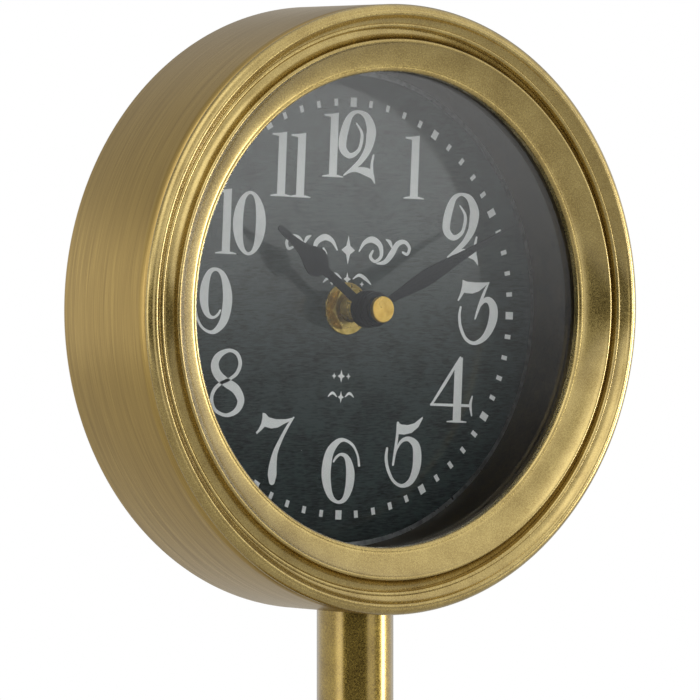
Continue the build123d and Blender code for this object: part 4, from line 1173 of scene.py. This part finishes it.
# ------------------------------------------------------------------ the hands and what holds them
@dataclass
class Hands:
    """The two hands, their collets and the brass cap."""

    hour_angle: float = 307.7
    minute_angle: float = 64.5
    slope: float = 0.07
    steps: int = 96              # round a hand's ring
    hour_bore: float = 2.47
    minute_bore: float = 1.62

    def blade(self, name: str, node: str, angle: float, run: Sequence[Triple], disc: float,
              bore: float) -> Piece:
        """A pressed hand: its blade and the ring round its arbor.

        Args:
            name: The piece's name.
            node: The CAD node that gives its depth.
            angle: Clockwise turn from twelve, in degrees.
            run: The blade's line as (0, distance, half width).
            disc: Radius of the ring.
            bore: Radius of its hole.

        Returns:
            The hand.
        """
        front, back = depths(node)
        relief = Relief(HEAD, back, back - front, angle)
        relief.shapes = -1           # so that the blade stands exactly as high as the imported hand
        relief.stroke(run, edge=self.slope)
        ring = section((back, bore), (front, bore), (front, disc - self.slope), (front + self.slope, disc),
                       (back, disc))
        base, n = len(relief.points), len(ring)
        for k in range(self.steps):
            relief.points += [around(Axis.DEPTH, HEAD, d, r, math.tau * k / self.steps) for d, r in ring]
            relief.band(base + n * k, base + n * ((k + 1) % self.steps), n)
        return relief.made(name)

    def collar(self, name: str, *outline: Sequence[float]) -> Piece:
        """A small turned piece on the hands' axis."""
        return turned(name, section(*outline, per_arc=6), Axis.DEPTH, HEAD, 128)

    def build(self) -> None:
        """Make and dress the hands."""
        # Blue-charcoal stoving enamel on stamped steel: satin, with faint orange peel.
        enamel = Mottled("charcoal_enamel", "10141B", "1A1F28", 0.5, 0.5, 0.006, patch=4.0,
                         gloss=0.15).made()
        # Turned brass: a warm spark at the hands' centre, with rings round it.
        brass = TurnedMetal("turned_brass", "C29A44", "D8B560", 0.3).made(HEAD)
        hour = self.blade("hour_hand_blade", "hour_hand", self.hour_angle, [
            (0, 3.0, 1.15), (0, 9.0, 1.15), (0, 15.2, 1.2), (0, 16.3, 2.3), (0, 17.8, 3.35), (0, 19.3, 3.65),
            (0, 21.2, 3.1), (0, 24.2, 1.75), (0, 28, 1.05), (0, 31, .92), (0, 32.7, 0.8)],
            4.6, self.hour_bore)
        seat(dress(hour, enamel), "hour_hand", ["hour_hand"])
        minute = self.blade("minute_hand_blade", "minute_hand", self.minute_angle, [
            (0, 2.5, 1.0), (0, 7, 1.05), (0, 14.2, 1.85), (0, 19.5, 2.05), (0, 30, 1.15), (0, 40, .5),
            (0, 45.4, .22)], 4.3, self.minute_bore)
        seat(dress(minute, enamel), "minute_hand", ["minute_hand"])
        front, back = depths("hour_collet")
        hub = self.collar("hour_hub", (back, self.hour_bore), (front, self.hour_bore), (front, 4.2),
                          (front + .12, 4.48, front + .4, 4.6), (back, 4.6))
        seat(dress(hub, enamel), "hour_hand", ["hour_collet"])
        front, back = depths("minute_collet")
        hub = self.collar("minute_hub", (back, self.minute_bore), (front, self.minute_bore), (front, 2.8),
                          (front + .09, 3.01, front + .3, 3.1), (front + 1.15, 3.1),
                          (front + 1.26, 3.14, front + 1.3, 3.25), (front + 1.3, 4.05),
                          (front + 1.37, 4.23, front + 1.55, 4.3), (back, 4.3))
        seat(dress(hub, enamel), "minute_hand", ["minute_collet"])
        front, back, r = *depths("hand_cap"), high("hand_cap").x - HEAD.x
        cap = self.collar("brass_cap", (front + 0.05, 0), (front + 0.02, 1.4, front, 2.8),
                          (front, r - .25), (front + .07, r - .07, front + .25, r), (back, r), (back, 0))
        seat(dress(cap, brass), "seconds", ["hand_cap"])


@dataclass
class Hardware:
    """The washer, nut and threaded bush that hold the movement to the dial."""

    thread_radius: float = 3.4
    thread_depth: float = 0.22
    pitch: float = 0.75
    bore: float = 2.5
    longest: float = 10.0
    steps: int = 72              # round the barrel
    rows_per_pitch: int = 10
    washer_bore: float = 3.6

    def thread(self) -> Piece:
        """Cut the bush's barrel: its thread is a true helix that is a little lower at the front.

        Returns:
            The threaded barrel.
        """
        front = low("threaded_bush").y
        back = min(high("movement_front_case").y, front + self.longest)
        steps, rows = self.steps, int((back - front) / self.pitch * self.rows_per_pitch)
        points, faces = [], []
        for k in range(rows + 1):
            along = front + (back - front) * k / rows
            ease = min(1.0, 0.75 + (along - front) * 0.25)
            for j in range(steps):
                turn = ((along - front) / self.pitch - j / steps) % 1.0
                cut = 1 - abs(2 * turn - 1)
                r = self.thread_radius * (0.97 + 0.03 * ease) - self.thread_depth * min(1.0, 1.3 * cut)
                points.append(around(Axis.DEPTH, HEAD, along, r, math.tau * j / steps))
        inner = len(points)
        for along in (front, back):
            for j in range(steps):
                points.append(around(Axis.DEPTH, HEAD, along, self.bore, math.tau * j / steps))
        for j in range(steps):
            n = (j + 1) % steps
            for k in range(rows):
                a, b = k * steps, (k + 1) * steps
                faces.append([a + j, a + n, b + n, b + j])
            faces.append([inner + j, inner + n, inner + steps + n, inner + steps + j])
            faces.append([j, n, inner + n, inner + j])
            faces.append([rows * steps + j, rows * steps + n, inner + steps + n, inner + steps + j])
        return as_object("bush_thread", points, faces, 40)

    def build(self) -> None:
        """Make and dress the hardware."""
        # Brass turned from bar, left bare: a duller gold than the case, with fine rings.
        brass = TurnedMetal("turned_nut_brass", "94803F", "C2A865", 0.27).made(HEAD)
        front, back, r = *depths("dial_washer"), high("dial_washer").x - HEAD.x
        washer = turned("brass_washer", section(
            (back, self.washer_bore), (front, self.washer_bore), (front, r - 0.2),
            (front + .04, r - .05, front + .18, r), (back, r)), Axis.DEPTH, HEAD, 128)
        seat(dress(washer, brass), "case", ["dial_washer"])
        seat(dress(self.thread(), brass), "case", ["threaded_bush"])
        dress(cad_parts["hex_nut"], brass)


# ------------------------------------------------------------------ the back and the movement
@dataclass
class Movement:
    """The battery movement, its setting knob, the back cover and its screws."""

    knob_ribs: int = 24
    knob_radius: float = 4.0
    screw_ring: float = 68.0
    screw_radius: float = 2.6
    rib_half: float = 0.3
    rib_height: float = 0.42
    slot_half: Pair = (1.4, 0.28)
    nub: float = 0.95            # from the cell's right end, what is bare steel
    flat_end: float = 0.04       # from its left end, the same

    def knob(self, black: Material) -> Piece:
        """Make the setting knob: a dished core with ribs set out round it.

        Args:
            black: The material of both.

        Returns:
            The knob.
        """
        front, back = depths("set_knob")
        centre = Vector((middle("set_knob").x, 0, middle("set_knob").z))
        core = turned("setting_knob", section(
            (front, 0), (front, self.knob_radius - 0.35), (back - 0.5, self.knob_radius - 0.35),
            (back - .12, self.knob_radius - .5, back, self.knob_radius - .9), (back, 2.2),
            (back - .3, 2.0), (back - .3, 0)), Axis.DEPTH, centre, 96)
        rib = Relief(ORIGIN, 0.0, 0.0)
        width, tall, sunk = self.rib_half, self.rib_height, 0.3
        outline = [(-width, -sunk), (-width, 0.0), (-width * 0.6, tall * 0.6), (0, tall * 0.82),
                   (width * 0.6, tall * 0.6), (width, 0.0), (width, -sunk)]
        n = len(outline)
        for depth, small in ((front + 0.2, 1.0), (back - 0.35, 1.0), (back - 0.1, 0.55)):
            rib.points += [(x * small, depth, z * small - (1 - small) * sunk) for x, z in outline]
        rib.band(0, n, n)
        rib.band(n, 2 * n, n)
        rib.faces += [list(range(n)), list(range(2 * n, 3 * n))]
        ribs = RoundSet(self.knob_ribs, self.knob_radius - 0.36, centre).made(rib.made("knob_ribs"), black)
        return self.joined(dress(core, black), ribs)

    @staticmethod
    def joined(first: Piece, second: Piece) -> Piece:
        """Add the second piece's mesh to the first and remove the second.

        Args:
            first: The piece that stays.
            second: The piece that goes.

        Returns:
            The first piece.
        """
        both = bmesh.new()
        both.from_mesh(first.data)
        both.from_mesh(second.data)
        both.to_mesh(first.data)
        both.free()
        bpy.data.objects.remove(second)
        return first

    def screws(self, steel: Material) -> Piece:
        """Make four pan-head screws with cross recesses.

        Args:
            steel: Their material.

        Returns:
            The screws' heads.
        """
        back, top = high("back_cover").y, high("back_cover_screws").y
        r = self.screw_radius
        head = turned("cover_screw_heads", section(
            (back, 0), (back, r), (back + 0.35, r), (top - .28, r - .5, top, 1.5), (top, 0)),
            Axis.DEPTH, ORIGIN, 48)
        for angle in (0.0, 90.0):
            slot = Relief(ORIGIN, top + 0.1, 0.0, angle)
            wide, tall = self.slot_half
            slot.points = [slot.place(x, z, y) for y in (top - 0.7, top + 0.2)
                           for x, z in ((-wide, -tall), (wide, -tall), (wide, tall), (-wide, tall))]
            slot.faces = [[0, 1, 2, 3], [4, 5, 6, 7]]
            slot.band(0, 4, 4)
            cutter = slot.made("cutter")
            cut = head.modifiers.new("slot", "BOOLEAN")
            cut.operation, cut.object, cut.solver = "DIFFERENCE", cutter, "EXACT"
            graph = bpy.context.evaluated_depsgraph_get()
            graph.update()
            slotted = bpy.data.meshes.new_from_object(head.evaluated_get(graph), depsgraph=graph)
            head.modifiers.remove(cut)
            head.data = slotted
            bpy.data.objects.remove(cutter)
        head.data.set_sharp_from_angle(angle=math.radians(CREASE))
        return RoundSet(4, self.screw_ring, HEAD, 45.0).made(head, steel)

    def cell(self) -> Piece:
        """Turn the AA cell: a sleeve turned over at both ends, flat ends and the nub.

        Returns:
            The cell, lying with its nub to the right.
        """
        left, right = low("battery").x, high("battery").x
        centre = Vector((0, middle("battery").y, middle("battery").z))
        r = (high("battery").y - low("battery").y) / 2
        shoulder = right - 0.9
        outline = section(
            (left, 0), (left, r - 1.6), (left + 0.1, r - 1.4), (left + 0.05, r - 1.1),
            (left + .12, r - .3, left + .8, r), (shoulder - .8, r),
            (shoulder - .12, r - .3, shoulder, r - 1.1), (shoulder - 0.15, 3.4), (shoulder - 0.15, 2.7),
            (right - 0.2, 2.7), (right - .06, 2.64, right, 2.5), (right, 0), per_arc=5)
        spun = turned("aa_cell", outline, Axis.UP, ORIGIN, 96)
        for v in spun.data.vertices:
            x, y, z = v.co / MM
            v.co = Vector((z, centre.y + y, centre.z - x)) * MM
        return spun

    def build(self) -> None:
        """Make and dress the back."""
        # ABS from a spark-eroded mould: fine even skin.
        abs_skin = Mottled("moulded_black_abs", "141517", "202225", 0.48, 0.22, 0.02, patch=12.0).made()
        # Stoved black lacquer: a soft gloss that shows the sheet's slight unevenness.
        lacquer = Mottled("black_stoved_lacquer", "121214", "1D1D20", 0.34, 0.9, 0.02, patch=20.0,
                          coat=0.3).made()
        # Zinc plating: cool and bright, with a faint stain.
        zinc = TurnedMetal("zinc_plated_steel", "8C8F92", "C4C7CA", 0.3).made(HEAD)
        seat(self.knob(abs_skin), "setting", ["set_knob"])
        seat(self.screws(zinc), "case", ["back_cover_screws"])
        # Printed shrink sleeve: glossy charcoal and copper, puckered where it shrank.
        cell = dress(self.cell(), BatterySleeve().made(middle("battery")))
        cell.data.materials.append(zinc)
        nub, flat = (high("battery").x - self.nub) * MM, (low("battery").x + self.flat_end) * MM
        for face in cell.data.polygons:
            if face.center.x > nub or face.center.x < flat:
                face.material_index = 1
        seat(cell, "battery", ["battery"])
        for node in ("movement_front_case", "movement_rear_case"):
            dress(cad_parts[node], abs_skin)
        dress(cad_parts["back_cover"], lacquer)
        dress(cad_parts["dial_plate"], zinc)


# ------------------------------------------------------------------ the stand
@dataclass
class Stand:
    """The pole, its collar, the spun base and the felt under it."""

    pole_radius: float = 9.5
    pole_wall: float = 1.5
    drum_radius: float = 75.02
    collar_radius: float = 13.0
    base_radius: float = 60.0
    neck_radius: float = 14.5
    felt_radius: float = 58.0
    fit: float = 0.02            # clearance of the collar and base round the pole

    def pole(self) -> Piece:
        """Draw the pole, its top cut to the drum's round underside.

        Returns:
            The pole.
        """
        bottom, r = low("pole_tube").z, self.pole_radius
        steps, rows = 160, 48
        points, faces = [], []
        for radius in (r, r - self.pole_wall):
            for j in range(steps):
                x, y = radius * math.sin(math.tau * j / steps), radius * math.cos(math.tau * j / steps)
                top = HEAD.z - math.sqrt(self.drum_radius ** 2 - x * x)
                for k in range(rows + 1):
                    points.append((FOOT.x + x, FOOT.y + y, bottom + (top - bottom) * k / rows))
        span, inner = rows + 1, steps * (rows + 1)
        for j in range(steps):
            a, b = j * span, (j + 1) % steps * span
            for shell in (0, inner):
                faces += [[shell + a + k, shell + b + k, shell + b + k + 1, shell + a + k + 1]
                          for k in range(rows)]
            for k in (0, rows):
                faces.append([a + k, b + k, inner + b + k, inner + a + k])
        return as_object("pole", points, faces)

    def collar(self) -> Piece:
        """Turn the cast collar round the pole's foot.

        Returns:
            The collar.
        """
        foot, top = heights("pole_collar")
        r, inside = self.collar_radius, self.pole_radius + self.fit
        return turned("foot_collar", section(
            (foot, inside), (foot, r - 0.2), (foot + .06, r - .06, foot + .2, r), (foot + 1.6, r),
            (foot + 3.6, r - 1.6, top, self.pole_radius + 1.0), (top, inside)), Axis.UP, FOOT, 192)

    def base(self) -> Piece:
        """Turn the spun base: rolled foot, step, cove, dome and neck, open underneath.

        Returns:
            The base.
        """
        foot, top = heights("base_shell")
        r, n, bore = self.base_radius, self.neck_radius, self.pole_radius + self.fit
        outer = section(
            (foot, r - 1.2), (foot, r - 0.3), (foot + .09, r - .09, foot + .3, r), (6.5, r),
            (8.9, r - 1.0, 10.0, r - 3.5), (10.4, 54.0), (12.3, 48.5, 15.5, 46.0), (16.55, 44.9, 16.2, 43.4),
            (21.6, n + 10, top - 2.4, n), (top - .7, n - .6, top, n - 2.0), (top, bore), per_arc=16)
        inner = section(
            (top - 1.2, bore), (top - 1.2, n - 2.4), (top - 4, n - .2), (20.6, n + 10),
            (15.0, 43.6), (14.4, 45.0), (11.2, 48.2), (9.2, 54.0), (8.8, r - 3.6), (7.9, r - 1.9),
            (6.5, r - 1.2))
        return turned("spun_base", outer + inner, Axis.UP, FOOT, 320)

    def felt(self) -> Piece:
        """Turn the felt disc, its cut edge soft.

        Returns:
            The felt.
        """
        top, r = high("felt_pad").z, self.felt_radius
        return turned("felt_foot", section(
            (0, 0), (0, r - 0.6), (.2, r - .15, .7, r), (top - .6, r),
            (top - .2, r - .2, top, r - .6), (top, 0)), Axis.UP, FOOT, 192)

    def build(self) -> None:
        """Make and dress the stand."""
        # The same lacquer with coarser flakes: a deeper gold, sandier than the bezel.
        gold = SprayedGold("sprayed_gold_stand", "705A26", "AA9146", 0.42).made()
        for piece, node in ((self.pole(), "pole_tube"), (self.collar(), "pole_collar"),
                            (self.base(), "base_shell")):
            seat(dress(piece, gold), "case", [node])
        # Pressed wool felt: short matted fibres that give no gloss.
        wool = Mottled("black_wool_felt", "141312", "2C2A28", 0.95, 0.35, 0.12, patch=5.0,
                       stretch=(1.0, 0.4, 1.0), sheen=0.35).made()
        seat(dress(self.felt(), wool), "case", ["felt_pad"])


@dataclass(frozen=True)
class Inside:
    """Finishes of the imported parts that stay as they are, by what each is made of."""

    def build(self) -> None:
        """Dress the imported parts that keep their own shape."""
        # Bright zinc on steel: cool glints on screws, plates and contacts.
        zinc = TurnedMetal("bright_zinc_steel", "86898C", "BFC2C5", 0.32).made(HEAD)
        # Sand-cast iron: dark, coarse and nearly dull.
        iron = Mottled("cast_iron", "2E2F31", "454648", 0.62, 0.8, 0.08, metallic=0.8).made()
        # Turned brass: bright rings on the arbor.
        brass = TurnedMetal("arbor_brass", "A9812F", "E6C36B", 0.25).made(HEAD)
        # Acetal gear plastic: milky, smooth and a little waxy.
        acetal = Mottled("white_acetal", "D8D6CE", "EFEEE8", 0.36, 0.5, 0.004, patch=3.0).made()
        # Sintered ferrite: charcoal grey with a dull metal sheen.
        ferrite = Mottled("ferrite_magnet", "38393B", "4A4B4E", 0.42, 0.3, 0.02, metallic=0.3).made()
        # Enamelled copper wire: fine turns that glow reddish along the coil.
        copper = Mottled("enamelled_copper_wire", "8A4A1F", "C4773A", 0.3, 0.12, 0.05, metallic=0.9,
                         patch=2.0, stretch=(1.0, 0.1, 0.1)).made()
        # Solder mask over glass fibre: a glossy green, with the tracks paler under it.
        board = CircuitBoard().made(middle("circuit_board"))
        # Moulded epoxy: matt black with a fine grit.
        epoxy = Mottled("moulded_chip_epoxy", "121314", "1C1D1F", 0.6, 0.12, 0.01, patch=2.0).made()
        # Nitrile rubber: dull black, a little cloudy.
        rubber = Mottled("black_rubber", "17171A", "26262A", 0.7, 0.3, 0.02, patch=4.0).made()
        groups = (
            (zinc, ("head_screw", "head_screw_washer", "dial_screws", "base_bolt", "base_bolt_washer",
                    "stator_plate", "coil_core", "contact_positive", "contact_negative", "quartz_crystal",
                    "case_blocks", "pole_top_plug", "pole_bottom_plug")),
            (iron, ("base_weight",)),
            (brass, ("minute_arbor",)),
            (acetal, ("hour_wheel", "minute_works_wheel", "centre_wheel", "third_wheel", "seconds_wheel",
                      "intermediate_wheel", "rotor_pinion", "train_plate", "coil_bobbin")),
            (ferrite, ("rotor_magnet",)),
            (copper, ("coil_winding",)),
            (board, ("circuit_board",)),
            (epoxy, ("clock_chip",)),
            (rubber, ("rubber_washer",)),
        )
        for material, nodes in groups:
            for node in nodes:
                dress(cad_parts[node], material)
            log.info("%s on %s", material.name, ", ".join(nodes))


# ------------------------------------------------------------------ floor, light and camera
@dataclass
class Studio:
    """A pale floor, a white tent of light with one soft box, and the camera."""

    eye: Triple = (-1.00288, -1.35721, 0.30523)
    look: Triple = (0.59352, 0.80447, -0.02396)
    lens: float = 350.7
    front: float = 1.3
    back: float = 0.95
    above: float = 0.55
    below: float = 0.4
    over: float = 0.5
    left: float = 1.5
    high_left: float = 1.5
    behind: float = 0.6
    gap_width: float = 37.0
    glare: float = 1.4
    box_strength: float = 4.0
    box_size: Pair = (0.32, 0.3)
    box_away: float = 1.3
    box_way: Triple = (0.84, -0.54, -0.07)

    def camera(self) -> None:
        """Place the camera, level and looking slightly down at the head."""
        data = bpy.data.cameras.new("camera")
        data.lens, data.sensor_width = self.lens, 36.0
        data.clip_start, data.clip_end = 0.05, 50.0
        eye = bpy.data.objects.new("camera", data)
        bpy.context.scene.collection.objects.link(eye)
        eye.location = self.eye
        eye.rotation_euler = Vector(self.look).to_track_quat("-Z", "Y").to_euler()
        bpy.context.scene.camera = eye

    def tent_light(self) -> None:
        """The tent: bright all round, darker below the horizon and in the gap by the camera."""
        world = bpy.data.worlds.new("white_tent")
        bpy.context.scene.world = world
        world.use_nodes = True
        tree = world.node_tree
        tree.nodes.clear()
        way = link_up(tree, "ShaderNodeTexCoord").outputs["Generated"]
        z = link_up(tree, "ShaderNodeSeparateXYZ", inputs={0: way}).outputs["Z"]

        def ease(value: Socket, span: Pair, first: float, last: float) -> Socket:
            """Ease from first to last as a value crosses a span."""
            return link_up(tree, "ShaderNodeMapRange", {"interpolation_type": "SMOOTHSTEP"}, {
                0: value, 1: span[0], 2: span[1], 3: first, 4: last}).outputs[0]

        def facing(target: Triple, inner: float, outer: float, first: float, last: float) -> Socket:
            """Ease between two levels round a direction.

            Args:
                target: The direction.
                inner: Degrees from it up to which the level is first.
                outer: Degrees from it beyond which the level is last.
                first: The level near the direction.
                last: The level away from it.

            Returns:
                The level.
            """
            dot = vector(tree, "DOT_PRODUCT", way, Vector(target).normalized()).outputs["Value"]
            return ease(dot, (math.cos(math.radians(outer)), math.cos(math.radians(inner))), last, first)

        def product(*levels: Socket) -> Socket:
            """Multiply levels together."""
            return reduce(lambda a, b: arith(tree, "MULTIPLY", a, b), levels)

        tent = product(
            ease(z, (-0.35, -0.12), self.below, 1.0), ease(z, (0.15, 0.42), 1.0, self.above),
            facing((-0.1, -1.0, 0.1), 50.0, 110.0, self.front, self.back),
            facing(self.look, 12.0, 38.0, self.behind, 1.0))
        for panel in (facing((0.35, -0.40, 0.85), 22.0, 56.0, self.over, 0.0),
                      facing((-0.98, -0.15, 0.05), 6.0, 20.0, self.left, 0.0),
                      facing((-0.52, -0.52, 0.64), 14.0, 34.0, self.high_left, 0.0)):
            tent = arith(tree, "ADD", tent, panel)
        gap = facing((-self.look[0], -self.look[1], 0.0), self.gap_width - 4, self.gap_width + 5, 1.0, 0.0)
        shut = product(gap, ease(z, (-0.24, -0.1), 0.0, 1.0), ease(z, (0.06, 0.15), 1.0, 0.0))
        glare = facing((0.59, -0.80, 0.0), 4.0, 16.0, 1.0, 0.0)
        strip = product(glare, ease(z, (-0.05, 0.025), 0.0, self.glare))
        rest = product(arith(tree, "SUBTRACT", 1.0, glare), tent, arith(tree, "SUBTRACT", 1.0, shut))
        total = arith(tree, "ADD", rest, strip)
        lit = link_up(tree, "ShaderNodeBackground", inputs={"Color": srgb("FFFFFF"), "Strength": total})
        plain = link_up(tree, "ShaderNodeBackground", inputs={"Color": srgb("FFFFFF"), "Strength": 1.0})
        seen = link_up(tree, "ShaderNodeLightPath").outputs["Is Camera Ray"]
        both = link_up(tree, "ShaderNodeMixShader", inputs={0: seen, 1: lit.outputs[0], 2: plain.outputs[0]})
        link_up(tree, "ShaderNodeOutputWorld", inputs={"Surface": both.outputs[0]})

    def soft_box(self) -> None:
        """Hang the small soft box at the front's right, a little below the head."""
        data = bpy.data.lights.new("soft_box", "AREA")
        data.shape, (data.size, data.size_y) = "RECTANGLE", self.box_size
        data.energy = self.box_strength
        lamp = bpy.data.objects.new("soft_box", data)
        bpy.context.scene.collection.objects.link(lamp)
        way = Vector(self.box_way).normalized()
        lamp.location = HEAD * MM + way * self.box_away
        lamp.rotation_euler = way.to_track_quat("Z", "Y").to_euler()
        lamp.visible_camera = False

    def floor(self) -> None:
        """A pale round table top with its edge eased."""
        top = turned("floor", section((0, 0), (0, 1380), (-8, 1396, -24, 1400), (-40, 1400), (-40, 0)),
                     Axis.UP, Vector((0, 0, -0.02)), 128)
        # Matt white paper: it throws soft light up under the head and keeps the shadows pale.
        dress(top, Mottled("matt_white_paper", "C2C1BE", "CDCCC9", 0.8, 0.6, 0.02, patch=60.0).made())

    def build(self) -> None:
        """Set up the studio."""
        self.camera()
        self.tent_light()
        self.soft_box()
        self.floor()
        bpy.context.scene.view_settings.view_transform = "Standard"


def main() -> None:
    """Build the clock's pieces in order, then the studio, and note the sizes."""
    logging.basicConfig(level=logging.INFO, format="%(message)s")
    for part in (Head(), Dial(), Hands(), Hardware(), Movement(), Stand(), Inside(), Studio()):
        part.build()
        log.info("%s done", type(part).__name__)


if __name__ == "__main__":
    main()
